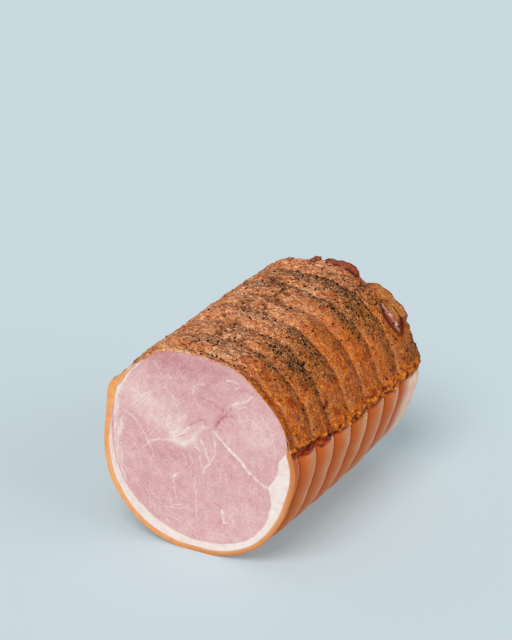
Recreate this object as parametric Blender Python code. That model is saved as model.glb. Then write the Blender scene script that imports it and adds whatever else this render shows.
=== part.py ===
"""Cut half of a cooked, netted ham, lying on its rind.

The ham is one solid. It lies along Y with its cut face at the -Y end, and rests on the flattened
crests of its ribs at z = 0. The elastic net it was cooked in has left a ring groove every 25 mm or
so. Rind wraps the bottom and both sides, and a browned, peppered crust covers the top and far end.
"""

import math
import random

import bmesh
import bpy
from mathutils import Matrix, Vector, noise

MM = 0.001

# Driving sizes of the whole ham
LENGTH = 192 * MM
AXIS_HEIGHT = 68.4 * MM
# Outline of the cut face, as (degrees from +X towards +Z, radius in millimetres)
SECTION = (
    (0, 71.0), (14, 69.4), (30, 70.4), (46, 69.2), (62, 70.2), (80, 69.0), (98, 69.4), (110, 70.6),
    (126, 67.8), (141, 68.8), (149, 69.6), (158, 68.6), (168, 66.8), (182, 67.0), (204, 69.8),
    (222, 70.3), (240, 70.6), (262, 69.7), (285, 69.8), (306, 70.8), (325, 70.2), (343, 69.6),
)
# The ham swells from the cut to the far end, though not where it sags on its base
FAR_END_GROWTH = 0.055
GROWTH_POWER = 0.6
SAG_POWER = 4

# Ring grooves that the net pressed in, as places on the rind in millimetres from the cut
RINGS = (-15.5, 8.6, 30.3, 55.1, 79.0, 103.2, 128.1, 151.4, 190.0)
# How far each ring strays along the axis where it crosses the top
RING_SHIFT = (
    (0, 0.0), (8.6, -3.6), (30.3, -2.3), (55.1, -3.1), (79.0, -2.0),
    (103.2, -2.2), (128.1, -1.1), (151.4, 1.6), (178, 0.0), (200, 0.0),
)
RIND_RING_DEPTH = 2.9 * MM
CRUST_RING_DEPTH = 1.8 * MM
RIND_FULLNESS = 0.75
CRUST_FULLNESS = 1.1
RIB_STATIONS = (0.0, 0.08, 0.25, 0.5, 0.75, 0.92)

# Rounded far end
ROUNDING_LENGTH = 14 * MM
ROUNDING_RADIUS = 16 * MM
DOME_HEIGHT = 5 * MM
ROUNDING_STEPS = 5
DOME_STEPS = 6
# Puckers where the net was gathered, as (degrees, depth in millimetres)
PUCKERS = (
    (18, 1.6), (63, 2.2), (121, 1.5), (170, 2.0), (214, 1.4), (262, 1.8), (301, 2.2), (340, 1.3),
)
PUCKER_WIDTH = 5 * MM
# Swellings and dips of the far rim, as (degrees, half width in degrees, height in millimetres)
RIM_SWELLS = (
    (82, 10, -0.8), (64, 7, -3.2), (46, 12, -0.2), (28, 5, -1.0), (12, 6, 0.6), (104, 14, -3.4), (128, 9, 1.0),
)
RIM_SWELL_START = 168 * MM
RIM_SWELL_RUN = 12 * MM

# Edges of the rind, as (distance from the cut in millimetres, degrees)
RIGHT_EDGE = ((0, 13.5), (20, 12.0), (40, 9.5), (60, 6.2), (80, 5.0), (110, 5.2), (150, 4.4), (190, 5.0))
LEFT_EDGE = ((0, 146.0), (25, 148.0), (60, 152.0), (100, 150.0), (140, 153.0), (190, 151.0))
EDGE_OFFSETS = (0.7 * MM, 2.0 * MM, 4.0 * MM, 7.0 * MM)
CRUST_COLUMNS = 25
RIND_COLUMNS = 32
LIP_HEIGHT = 1.1 * MM
LIP_WIDTH = 4.5 * MM
CREVICE_DEPTH = 1.9 * MM
CREVICE_WIDTH = 3.6 * MM
RIND_REACH_ON_END = 0.72
# Loose corner of rind that stands out at the left of the cut
CORNER_ANGLE = 150.5
CORNER_WIDTH = 8.0
CORNER_HEIGHT = 1.7 * MM
CORNER_RUN = 24 * MM

# Layers that show at the cut
RIND_THICKNESS = 4.0 * MM
CRUST_THICKNESS = 1.4 * MM
# Fat between rind and meat, as (degrees, thickness in millimetres)
FAT = (
    (14, 0.6), (0, 9.5), (348, 12.5), (330, 9.5), (310, 8.0), (285, 5.0), (262, 4.0), (240, 4.4),
    (215, 4.6), (190, 4.6), (170, 4.0), (155, 2.4), (140, 0.8), (126, 0.5), (30, 0.5),
)

# Uneven surface
CRUST_LUMP = 1.3 * MM
RIND_LUMP = 0.5 * MM
LUMP_SIZE = 34 * MM
END_LUMP = 2.2 * MM

# Pieces that tore loose at the far end:
# name, distance from the cut, degrees, half lengths (round the rim, outward, along the axis),
# lift, turn about the outward line, rise of the far edge
TORN_PIECES = (
    ("top_curl", 183.0 * MM, 79.0, (13.0 * MM, 3.0 * MM, 6.0 * MM), 0.1 * MM, 5.0, 14.0),
    ("top_knob", 181.0 * MM, 97.0, (5.6 * MM, 3.0 * MM, 4.8 * MM), -0.6 * MM, 0.0, 8.0),
    ("side_flap", 183.5 * MM, 45.0, (15.5 * MM, 3.2 * MM, 8.0 * MM), -1.4 * MM, -10.0, 8.0),
    ("corner_knob", 186.5 * MM, 12.0, (6.2 * MM, 3.2 * MM, 4.6 * MM), -0.8 * MM, 0.0, 8.0),
    ("left_curl", 181.0 * MM, 128.0, (9.5 * MM, 2.8 * MM, 5.6 * MM), -0.2 * MM, 10.0, 12.0),
)
# Eye-shaped torn pocket in front of the side flap
POCKET_PLACE = (166.5 * MM, 37.5)
POCKET_LIP = (13.5 * MM, 2.6 * MM, 5.0 * MM)
POCKET_HOLLOW = (11.2 * MM, 2.2 * MM, 3.3 * MM)
POCKET_TURN = -18.0

# Coarse pepper pressed into the crust
GRAIN_COUNT = 84
GRAIN_RADIUS = (0.85 * MM, 1.3 * MM)
GRAIN_SEED = 7

COLOURS = {
    "meat": ((0.68, 0.41, 0.41), 0.45),
    "fat": ((0.83, 0.73, 0.68), 0.4),
    "rind": ((0.50, 0.17, 0.07), 0.38),
    "crust": ((0.30, 0.11, 0.035), 0.55),
    "pepper": ((0.02, 0.016, 0.014), 0.7),
}
SLOTS = tuple(COLOURS)


def clear_scene():
    for obj in list(bpy.data.objects):
        bpy.data.objects.remove(obj)


def material(name):
    colour, roughness = COLOURS[name]
    made = bpy.data.materials.new(name)
    made.use_nodes = True
    shader = made.node_tree.nodes["Principled BSDF"]
    shader.inputs["Base Color"].default_value = (*colour, 1.0)
    shader.inputs["Roughness"].default_value = roughness
    shader.inputs["Metallic"].default_value = 0.0
    return made


def smooth_step(value):
    value = min(1.0, max(0.0, value))
    return value * value * (3.0 - 2.0 * value)


def round_table(points, angle):
    """Smooth closed curve through (degrees, value) points, read at an angle in degrees."""
    ordered = sorted(points)
    count = len(ordered)
    angle %= 360.0
    after = next((i for i, (degrees, _) in enumerate(ordered) if degrees > angle), 0)
    (a0, v0), (a1, v1), (a2, v2), (a3, v3) = (ordered[(after + step) % count] for step in (-2, -1, 0, 1))
    span = (a2 - a1) % 360.0
    share = ((angle - a1) % 360.0) / span
    slope1 = (v2 - v0) / ((a2 - a0) % 360.0) * span
    slope2 = (v3 - v1) / ((a3 - a1) % 360.0) * span
    square, cube = share * share, share ** 3
    return (
        (2 * cube - 3 * square + 1) * v1
        + (cube - 2 * square + share) * slope1
        + (3 * square - 2 * cube) * v2
        + (cube - square) * slope2
    )


def line_table(points, place):
    """Value between (millimetres, value) points, eased from one to the next."""
    place /= MM
    for (start, low), (end, high) in zip(points, points[1:]):
        if place <= end:
            return low + (high - low) * smooth_step((place - start) / (end - start))
    return points[-1][1]


def angle_between(angle, other):
    """Signed turn from one angle to another in degrees, between -180 and 180."""
    return (angle - other + 180.0) % 360.0 - 180.0


def section_radius(angle):
    return round_table(SECTION, angle) * MM


def growth(place, angle):
    sag = max(0.0, -math.sin(math.radians(angle))) ** SAG_POWER
    return 1.0 + FAR_END_GROWTH * (max(0.0, place) / LENGTH) ** GROWTH_POWER * (1.0 - sag)


def pillow(place, fullness):
    """0 in a ring groove and 1 halfway between two of them."""
    for start, end in zip(RINGS, RINGS[1:]):
        if place / MM <= end:
            return abs(math.sin(math.pi * (place / MM - start) / (end - start))) ** fullness
    return 0.0


def ring_shift(place, angle):
    """How far the net strayed along the axis here."""
    return line_table(RING_SHIFT, place) * MM * smooth_step(math.sin(math.radians(angle)) / 0.9)


def lump(place, angle, size, seed):
    """Low, soft unevenness between -1 and 1, that closes round the ham."""
    turn = math.radians(angle)
    around = section_radius(0.0) / size
    spot = Vector((math.cos(turn) * around, math.sin(turn) * around, place / size + seed))
    return noise.noise(spot)


def edge_relief(beyond, place):
    """Browned lip on the crust's side of a rind edge and the crevice on the rind's side.

    beyond is how far past the edge a point lies, and is negative on the crust.
    """
    ragged = 0.75 + 0.5 * noise.noise(Vector((place / (6 * MM), beyond / (9 * MM), 3.7)))
    if beyond <= 0:
        return LIP_HEIGHT * ragged * (1.0 - smooth_step(-beyond / LIP_WIDTH))
    return -CREVICE_DEPTH * ragged * (1.0 - smooth_step(beyond / CREVICE_WIDTH))


def loose_corner(place, angle):
    across = angle_between(angle, CORNER_ANGLE) / CORNER_WIDTH
    return CORNER_HEIGHT * math.exp(-across * across) * (1.0 - smooth_step(place / CORNER_RUN))


def rim_swell(place, angle):
    run = smooth_step((place - RIM_SWELL_START) / RIM_SWELL_RUN)
    if not run:
        return 0.0
    height = sum(
        tall * math.exp(-((angle_between(angle, middle) / half) ** 2)) for middle, half, tall in RIM_SWELLS
    )
    return height * MM * run


def pucker(radius, angle):
    """Depth of the gathers that run to the middle of the far end."""
    depth = 0.0
    for middle, deep in PUCKERS:
        across = math.radians(angle_between(angle, middle)) * radius / PUCKER_WIDTH
        depth += deep * MM * math.exp(-across * across)
    return depth * smooth_step(radius / (20 * MM))


def profile():
    """Points along the ham's side and over its far end, as (distance, radius lost, share of the dome left)."""
    side_end = LENGTH - ROUNDING_LENGTH
    places = [0.0]
    for start, end in zip(RINGS, RINGS[1:]):
        places += [(start + share * (end - start)) * MM for share in RIB_STATIONS]
    gap = 0.8 * MM
    places = [0.0] + [place for place in places if gap < place < side_end - gap]
    points = [(place, 0.0, None) for place in places]
    for step in range(ROUNDING_STEPS + 1):
        turn = 0.5 * math.pi * step / ROUNDING_STEPS
        points.append((side_end + ROUNDING_LENGTH * math.sin(turn), ROUNDING_RADIUS * (1 - math.cos(turn)), None))
    for step in range(1, DOME_STEPS):
        points.append((LENGTH, ROUNDING_RADIUS, 1.0 - step / DOME_STEPS))
    return points


def columns():
    """Lines along the ham, as (is rind, share of the way across, offset from the nearest edge)."""
    made = []
    for is_rind, count in ((False, CRUST_COLUMNS), (True, RIND_COLUMNS)):
        made += [(is_rind, 0.0, offset) for offset in EDGE_OFFSETS]
        made += [(is_rind, step / count, 0.0) for step in range(2, count - 1)]
        made += [(is_rind, 1.0, -offset) for offset in reversed(EDGE_OFFSETS)]
    return made


def column_angle(column, place):
    """(angle in degrees, distance past the nearest edge, negative on the crust) of a column."""
    is_rind, share, offset = column
    right, left = line_table(RIGHT_EDGE, place), line_table(LEFT_EDGE, place)
    start, end = (left, right + 360.0) if is_rind else (right, left)
    radius = section_radius(0.0)
    angle = start + (end - start) * share + math.degrees(offset / radius)
    beyond = min(angle - start, end - angle) * math.pi / 180.0 * radius
    return angle, beyond if is_rind else -beyond


def surface_point(place, lost, dome_share, column):
    angle, beyond = column_angle(column, place)
    is_rind = column[0]
    side_share = 1.0 - lost / ROUNDING_RADIUS
    radius = section_radius(angle) * growth(place, angle)
    depth, fullness = (RIND_RING_DEPTH, RIND_FULLNESS) if is_rind else (CRUST_RING_DEPTH, CRUST_FULLNESS)
    radius -= depth * (1.0 - pillow(place, fullness)) * side_share
    radius += edge_relief(beyond, place) * (0.3 + 0.7 * side_share)
    radius += (RIND_LUMP if is_rind else CRUST_LUMP) * lump(place, angle, LUMP_SIZE, 11.0)
    radius += loose_corner(place, angle) + rim_swell(place, angle) * side_share
    end_share = smooth_step((place - LENGTH + 2 * ROUNDING_LENGTH) / (2 * ROUNDING_LENGTH))
    rough = 0.4 if is_rind and dome_share is None else 1.0
    radius += END_LUMP * rough * end_share * lump(place, angle, LUMP_SIZE / 2.2, 23.0)
    radius -= lost
    along = place + ring_shift(place, angle)
    if lost:
        along -= pucker(radius, angle) * lost / ROUNDING_RADIUS
    if dome_share is not None:
        along = place + DOME_HEIGHT * (1.0 - dome_share ** 2)
        along += END_LUMP * lump(dome_share * radius, angle, LUMP_SIZE / 2, 5.0) * (1.0 - dome_share) * dome_share * 4
        radius *= dome_share
        along -= pucker(radius, angle)
    turn = math.radians(angle)
    height = AXIS_HEIGHT + radius * math.sin(turn)
    return Vector((radius * math.cos(turn), along - LENGTH / 2, max(0.0, height)))


def is_rind_face(column, lost, dome_share):
    reach = lost < RIND_REACH_ON_END * ROUNDING_RADIUS
    return column[0] and reach and dome_share is None


def add_body(mesh):
    """Side and far end of the ham, as one skin. Returns the rim of the cut face."""
    stations, lines = profile(), columns()
    rings = [[mesh.verts.new(surface_point(*station, line)) for line in lines] for station in stations]
    count = len(lines)
    for (near, far), station in zip(zip(rings, rings[1:]), stations):
        for i in range(count):
            j = (i + 1) % count
            face = mesh.faces.new((near[i], near[j], far[j], far[i]))
            is_rind = is_rind_face(lines[i], station[1], station[2])
            face.material_index = SLOTS.index("rind" if is_rind else "crust")
    pole = mesh.verts.new((0.0, LENGTH / 2 + DOME_HEIGHT, AXIS_HEIGHT))
    last = rings[-1]
    for i in range(count):
        face = mesh.faces.new((last[i], last[(i + 1) % count], pole))
        face.material_index = SLOTS.index("crust")
    return rings[0], lines


def add_cut_face(mesh, rim, lines):
    """Flat cut across the ham, as rings of rind, fat and meat."""
    centre = Vector((0.0, -LENGTH / 2, AXIS_HEIGHT))

    def inset(width_of):
        loop = []
        for vertex, line in zip(rim, lines):
            outward = vertex.co - centre
            angle, _ = column_angle(line, 0.0)
            share = 1.0 - width_of(line, angle) / outward.length
            loop.append(mesh.verts.new(centre + outward * share))
        return loop

    def skin(line, angle):
        return RIND_THICKNESS if line[0] else CRUST_THICKNESS

    def skin_and_fat(line, angle):
        return skin(line, angle) + max(0.4, round_table(FAT, angle)) * MM

    loops = [(rim, None), (inset(skin), "rind"), (inset(skin_and_fat), "fat")]
    for share in (0.66, 0.33):
        meat_loop = [mesh.verts.new(centre + (vertex.co - centre) * share) for vertex in loops[2][0]]
        loops.append((meat_loop, "meat"))
    for (outer, _), (inner, name) in zip(loops, loops[1:]):
        for i, line in enumerate(lines):
            j = (i + 1) % len(lines)
            face = mesh.faces.new((outer[j], outer[i], inner[i], inner[j]))
            shown = "crust" if name == "rind" and not line[0] else name
            face.material_index = SLOTS.index(shown)
    hub = mesh.verts.new(centre)
    last = loops[-1][0]
    for i in range(len(lines)):
        face = mesh.faces.new((last[(i + 1) % len(lines)], last[i], hub))
        face.material_index = SLOTS.index("meat")


def object_from(mesh, name, materials):
    bmesh.ops.recalc_face_normals(mesh, faces=mesh.faces)
    data = bpy.data.meshes.new(name)
    mesh.to_mesh(data)
    mesh.free()
    for made in materials:
        data.materials.append(made)
    obj = bpy.data.objects.new(name, data)
    bpy.context.scene.collection.objects.link(obj)
    return obj


def outward_frame(place, angle, turn=0.0, rise=0.0):
    """Matrix at a spot on the crust: X round the ham, Y outward, Z along the axis."""
    right, left = line_table(RIGHT_EDGE, place), line_table(LEFT_EDGE, place)
    column = (False, (angle - right) / (left - right), 0.0)
    lost = 0.0
    side_end = LENGTH - ROUNDING_LENGTH
    if place > side_end:
        reach = min(1.0, (place - side_end) / ROUNDING_LENGTH)
        lost = ROUNDING_RADIUS * (1.0 - math.sqrt(1.0 - reach * reach))
    spot = surface_point(min(place, LENGTH), lost, None, column)
    radians = math.radians(angle)
    outward = Vector((math.cos(radians), 0.0, math.sin(radians)))
    around = Vector((-math.sin(radians), 0.0, math.cos(radians)))
    along = Vector((0.0, 1.0, 0.0))
    frame = Matrix((around, outward, along)).transposed().to_4x4()
    turned = Matrix.Rotation(math.radians(turn), 4, "Y") @ Matrix.Rotation(math.radians(-rise), 4, "X")
    return Matrix.Translation(spot) @ frame @ turned


def torn_slab(name, size, frame, materials):
    """Flat, uneven slab that follows the round of the ham, sized by its half lengths."""
    mesh = bmesh.new()
    bmesh.ops.create_icosphere(mesh, subdivisions=2, radius=1.0)
    for vertex in mesh.verts:
        swell = 1.0 + 0.3 * noise.noise(vertex.co * 1.6 + Vector((size[0] / MM, 0.0, 0.0)))
        vertex.co = Vector(half * part for half, part in zip(size, vertex.co * swell))
        vertex.co.y -= vertex.co.x ** 2 / (2 * section_radius(0.0))
    for face in mesh.faces:
        face.material_index = SLOTS.index("crust")
    mesh.transform(frame)
    return object_from(mesh, name, materials)


def pepper_grain(index, chance, materials):
    """One cracked corn of pepper, half sunk in the crust. More lie just past each ring, along the top."""
    ring = chance.randrange(1, len(RINGS) - 1)
    start, end = RINGS[ring] * MM, RINGS[ring + 1] * MM
    place = start + (end - start) * min(0.94, abs(chance.gauss(0.0, 0.42)))
    angle = min(118.0, max(20.0, chance.gauss(66.0, 26.0)))
    radius = chance.uniform(*GRAIN_RADIUS)
    mesh = bmesh.new()
    bmesh.ops.create_icosphere(mesh, subdivisions=1, radius=radius)
    for vertex in mesh.verts:
        vertex.co *= chance.uniform(0.8, 1.2)
    for face in mesh.faces:
        face.material_index = SLOTS.index("pepper")
    mesh.transform(outward_frame(place, angle))
    return object_from(mesh, f"grain_{index:03d}", materials)


def fuse(body, extras, operation, name):
    """Joins a collection of pieces to the body, or cuts them from it, and removes them."""
    group = bpy.data.collections.new(name)
    bpy.context.scene.collection.children.link(group)
    for extra in extras:
        bpy.context.scene.collection.objects.unlink(extra)
        group.objects.link(extra)
    modifier = body.modifiers.new(name, "BOOLEAN")
    modifier.operation = operation
    modifier.operand_type = "COLLECTION"
    modifier.collection = group
    modifier.solver = "EXACT"
    bpy.context.view_layer.objects.active = body
    bpy.ops.object.modifier_apply(modifier=modifier.name)
    for extra in extras:
        bpy.data.objects.remove(extra)
    bpy.data.collections.remove(group)


def centre_on_base(body):
    """Puts the middle of the body's footprint box at x = 0, y = 0."""
    for axis in (0, 1):
        values = [vertex.co[axis] for vertex in body.data.vertices]
        shift = (min(values) + max(values)) / 2
        for vertex in body.data.vertices:
            vertex.co[axis] -= shift


def build_ham():
    materials = [material(name) for name in SLOTS]
    mesh = bmesh.new()
    rim, lines = add_body(mesh)
    add_cut_face(mesh, rim, lines)
    body = object_from(mesh, "ham", materials)

    torn = []
    for name, place, angle, size, lift, turn, rise in TORN_PIECES:
        frame = outward_frame(place, angle, turn, rise) @ Matrix.Translation((0.0, lift, 0.0))
        torn.append(torn_slab(name, size, frame, materials))
    pocket_frame = outward_frame(*POCKET_PLACE, POCKET_TURN)
    torn.append(torn_slab("pocket_lip", POCKET_LIP, pocket_frame, materials))
    chance = random.Random(GRAIN_SEED)
    grains = [pepper_grain(i, chance, materials) for i in range(GRAIN_COUNT)]
    fuse(body, torn + grains, "UNION", "torn_pieces_and_pepper")
    sunk = Matrix.Translation((0.0, POCKET_LIP[1], 0.0))
    hollow = torn_slab("pocket_hollow", POCKET_HOLLOW, pocket_frame @ sunk, materials)
    fuse(body, [hollow], "DIFFERENCE", "pocket")

    centre_on_base(body)
    body.data.shade_smooth()
    body.data.set_sharp_from_angle(angle=math.radians(35.0))
    return body


clear_scene()
build_ham()
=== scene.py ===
"""Looks of half a cooked ham that was rolled, netted, peppered and browned, then cut across."""

import math
import random

import bmesh
import bpy
import numpy as np
from mathutils import Matrix, Vector, noise


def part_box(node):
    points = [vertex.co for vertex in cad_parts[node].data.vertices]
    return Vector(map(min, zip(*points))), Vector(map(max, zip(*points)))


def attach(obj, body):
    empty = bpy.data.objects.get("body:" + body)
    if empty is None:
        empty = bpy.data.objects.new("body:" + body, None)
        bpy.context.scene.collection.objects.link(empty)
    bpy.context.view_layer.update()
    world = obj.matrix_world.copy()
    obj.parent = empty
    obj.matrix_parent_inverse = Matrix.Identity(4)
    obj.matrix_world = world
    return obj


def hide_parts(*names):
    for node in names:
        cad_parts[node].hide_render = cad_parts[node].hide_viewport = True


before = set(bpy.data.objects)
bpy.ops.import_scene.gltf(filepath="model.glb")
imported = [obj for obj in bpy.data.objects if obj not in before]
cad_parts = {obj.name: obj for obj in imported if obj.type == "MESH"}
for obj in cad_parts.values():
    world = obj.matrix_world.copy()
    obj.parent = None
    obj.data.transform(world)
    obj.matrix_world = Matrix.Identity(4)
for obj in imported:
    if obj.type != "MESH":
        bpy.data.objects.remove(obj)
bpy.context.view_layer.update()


# Rind
# The pig's own skin, left on the base and both sides. It was scored by nothing but the elastic net
# that pressed the joint while it cooked, so it bulges between the net's rings like a row of pillows.
# Smoke and its own gelatine glaze it orange brown. All sizes below are in millimetres.

LENGTH = 192
AXIS_HEIGHT = 68.4
# Where the ham's axis runs, and where its cut face lies
AXIS_X = -2.0916
CUT_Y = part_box("ham")[0].y * 1000
# Outline of the cut, as (degrees from +X towards +Z, radius)
SECTION = (
    (0, 71), (14, 69.4), (30, 70.4), (46, 69.2), (62, 70.2), (80, 69), (98, 69.4), (110, 70.6),
    (126, 67.8), (141, 68.8), (149, 69.6), (158, 68.6), (168, 66.8), (182, 67), (204, 69.8),
    (222, 70.3), (240, 70.6), (262, 69.7), (285, 69.8), (306, 70.8), (325, 70.2), (343, 69.6),
)
FAR_END_GROWTH = 0.055
GROWTH_POWER = 0.6
SAG_POWER = 4
# Places of the net's rings on the rind, and how far each strays where it crosses the top
RING_SPACING = 23.5
RINGS = (-15.5, 8.6, 30.3, 55.1, 79, 103.2, 128.1, 151.4, 190)
RING_SHIFT = (
    (0, 0), (8.6, -1.8), (30.3, -0.4), (55.1, -1.2), (79, -1.2),
    (103.2, -1), (128.1, -1), (151.4, 3.4), (178, 0.6), (200, 0),
)
ROUNDING_LENGTH = 14
ROUNDING_RADIUS = 16
SIDE_END = LENGTH - ROUNDING_LENGTH
DOME_HEIGHT = 5
# Gathers of the net's end, as (degrees, depth)
PUCKERS = (
    (18, 1.6), (63, 2.2), (121, 1.5), (170, 2), (214, 1.4), (262, 1.8), (301, 2.2), (340, 1.3),
)
PUCKER_WIDTH = 5
# Swells and dips of the far rim, as (degrees, half width, height)
RIM_SWELLS = (
    (82, 10, -0.8), (64, 7, -3.2), (46, 12, -0.2), (28, 5, -1), (12, 6, 0.6), (104, 14, -3.4),
    (128, 9, 1),
)
RIM_SWELL_START = 168
RIM_SWELL_RUN = 12
# Loose corner of rind that stands out at the left of the cut
CORNER_ANGLE = 150.5
CORNER_WIDTH = 8
CORNER_HEIGHT = 1.7
CORNER_RUN = 24
# Where the joint bulges most, as (place, degrees, half length, half width in degrees, height)
BULGES = ((92, 114, 84, 28, 1.8), (22, 62, 26, 18, 1.1), (0, 128, 24, 16, 1), (172, -32, 34, 26, -1.8))
# Edges of the rind, as (place, degrees)
RIGHT_EDGE = ((0, 13.5), (20, 12), (40, 9.5), (60, 6.2), (80, 5), (110, 5.2), (150, 4.4), (190, 5))
LEFT_EDGE = ((0, 146), (25, 148), (60, 152), (100, 150), (140, 153), (190, 151))
LUMP_SIZE = 34
END_LUMP = 2.2
AROUND = 71

RIND_RING_DEPTH = 2.9
RIND_FULLNESS = 0.75
RIND_LUMP = 0.5
RIND_END_LOSS = 0.72
RIND_TUCK = 3
CREVICE_DEPTH = 1.9
CREVICE_WIDTH = 3.6
CORD_PITCH = 3.2
CORD_PRINT = 0.16
# Thickness of the skin where the knife went through it, as (degrees, thickness)
RIND_CUT = (
    (0, 3.8), (330, 3.7), (300, 3.2), (272, 3.5), (250, 3.8), (230, 3.5), (205, 4), (180, 3.6),
    (165, 4.4), (152, 6.2), (142, 3.2), (132, 0.7), (80, 0.7), (20, 3.4),
)


def limited(value):
    return np.clip(value, 0, 1)


def smooth(value, start=0, run=1):
    """0 before the start and 1 after the run, eased between them."""
    value = limited((value - start) / run)
    return value * value * (3 - 2 * value)


def hump(distance, width, power=2):
    """1 at no distance, falling softly to 0 past the width."""
    return np.exp(-(distance / width) ** power)


def round_curve(points):
    """Smooth closed curve through (degrees, value) points, as a function of degrees."""
    turns, values = np.array(sorted(points), float).T
    turned = (np.roll(turns, -1) - np.roll(turns, 1)) % 360
    slopes = (np.roll(values, -1) - np.roll(values, 1)) / turned

    def read(angle):
        angle = np.mod(angle, 360)
        i = (np.searchsorted(turns, angle, side="right") - 1) % len(turns)
        j = (i + 1) % len(turns)
        span = (turns[j] - turns[i]) % 360
        t = ((angle - turns[i]) % 360) / span
        return (
            (2 * t ** 3 - 3 * t ** 2 + 1) * values[i]
            + (t ** 3 - 2 * t ** 2 + t) * slopes[i] * span
            + (3 * t ** 2 - 2 * t ** 3) * values[j]
            + (t ** 3 - t ** 2) * slopes[j] * span
        )

    return read


def eased(points, place):
    """Value between (place, value) points, eased from one to the next."""
    places, values = np.array(points, float).T
    i = np.clip(np.searchsorted(places, place) - 1, 0, len(places) - 2)
    share = smooth((place - places[i]) / (places[i + 1] - places[i]))
    return values[i] + (values[i + 1] - values[i]) * share


def turn_from(angle, other):
    return (angle - other + 180) % 360 - 180


def rough(x, y, z):
    """Smooth noise between -1 and 1 at each point."""
    x, y, z = np.broadcast_arrays(x, y, z)
    return np.array([noise.noise(spot) for spot in zip(x.flat, y.flat, z.flat)]).reshape(x.shape)


def skin_noise(place, angle, around_size, along_size, seed):
    """Noise on the skin that closes round the ham, with grains of these sizes."""
    turn = np.radians(angle)
    return rough(
        np.cos(turn) * AROUND / around_size, np.sin(turn) * AROUND / around_size, place / along_size + seed
    )


def ring_phase(place):
    """0 just past a ring and 1 just before the next."""
    rings = np.array(RINGS)
    i = np.clip(np.searchsorted(rings, place) - 1, 0, len(rings) - 2)
    return limited((place - rings[i]) / (rings[i + 1] - rings[i]))


def pillow(place, fullness, lean=1):
    """0 in a ring groove and 1 halfway between two of them, or nearer the first where lean is under 1."""
    return np.abs(np.sin(np.pi * ring_phase(place) ** lean)) ** fullness


def ring_distance(place):
    """Millimetres to the nearest ring."""
    return np.min(np.abs(np.subtract.outer(place, np.array(RINGS))), axis=-1)


section = round_curve(SECTION)


def form(place, angle, lost=0, dome=1, relief=0, end_rough=1):
    """Points of the pressed joint, in millimetres. Relief pushes them out along the surface."""
    turn = np.radians(angle)
    side = 1 - lost / ROUNDING_RADIUS
    sag = np.maximum(0, -np.sin(turn)) ** SAG_POWER
    growth = 1 + FAR_END_GROWTH * (np.maximum(0, place) / LENGTH) ** GROWTH_POWER * (1 - sag)
    corner = CORNER_HEIGHT * hump(turn_from(angle, CORNER_ANGLE), CORNER_WIDTH)
    corner = corner * (1 - smooth(place / CORNER_RUN))
    swell = sum(tall * hump(turn_from(angle, middle), half) for middle, half, tall in RIM_SWELLS)
    bulge = sum(
        tall * np.exp(-((place - s) / long) ** 4 - (turn_from(angle, middle) / wide) ** 2)
        for s, middle, long, wide, tall in BULGES
    )
    swell = swell * smooth(place, RIM_SWELL_START, RIM_SWELL_RUN) * side
    radius = section(angle) * growth + corner + bulge + swell
    end = smooth((place - LENGTH + 2 * ROUNDING_LENGTH) / (2 * ROUNDING_LENGTH))
    if np.any(end > 0):
        radius = radius + END_LUMP * end_rough * end * skin_noise(
            place, angle, LUMP_SIZE / 2.2, LUMP_SIZE / 2.2, 23
        )
    radius = radius - lost
    shift = eased(RING_SHIFT, place) * smooth(np.sin(turn) / 0.9)
    along = place + shift + DOME_HEIGHT * (1 - dome ** 2)
    if np.any(lost > 0):
        lumps = skin_noise(dome * radius, angle, LUMP_SIZE / 2, LUMP_SIZE / 2, 5)
        along = along + END_LUMP * lumps * (1 - dome) * dome * 4
        reach = radius * dome
        gather = sum(
            deep * np.exp(-(np.radians(turn_from(angle, middle)) * reach / PUCKER_WIDTH) ** 2)
            for middle, deep in PUCKERS
        )
        along = along - gather * smooth(reach / 20) * lost / ROUNDING_RADIUS
    lean = np.arccos(limited(side))
    radius = radius * dome + relief * np.cos(lean)
    along = along + relief * np.sin(lean)
    height = np.maximum(0, AXIS_HEIGHT + radius * np.sin(turn))
    return np.stack(np.broadcast_arrays(AXIS_X + radius * np.cos(turn), CUT_Y + along, height), axis=-1)


def rounding_rows(last, count):
    """Places and radius lost along the far rounding, up to a share of its quarter turn."""
    lean = np.linspace(0, last, count) * math.pi / 2
    return SIDE_END + ROUNDING_LENGTH * np.sin(lean), ROUNDING_RADIUS * (1 - np.cos(lean))


def towards_axis(points, depth):
    """Points moved into the ham by a depth."""
    anchors = points.copy()
    anchors[..., 0] = AXIS_X
    anchors[..., 1] = np.minimum(anchors[..., 1], CUT_Y + SIDE_END - 12)
    anchors[..., 2] = AXIS_HEIGHT
    anchors[..., 1] = np.where(points[..., 1] < CUT_Y + 1e-6, CUT_Y, anchors[..., 1])
    away = anchors - points
    return points + away / np.linalg.norm(away, axis=-1, keepdims=True) * np.asarray(depth)[..., None]


def placed(name, data):
    """A new object in the scene."""
    made = bpy.data.objects.new(name, data)
    bpy.context.scene.collection.objects.link(made)
    return made


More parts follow.
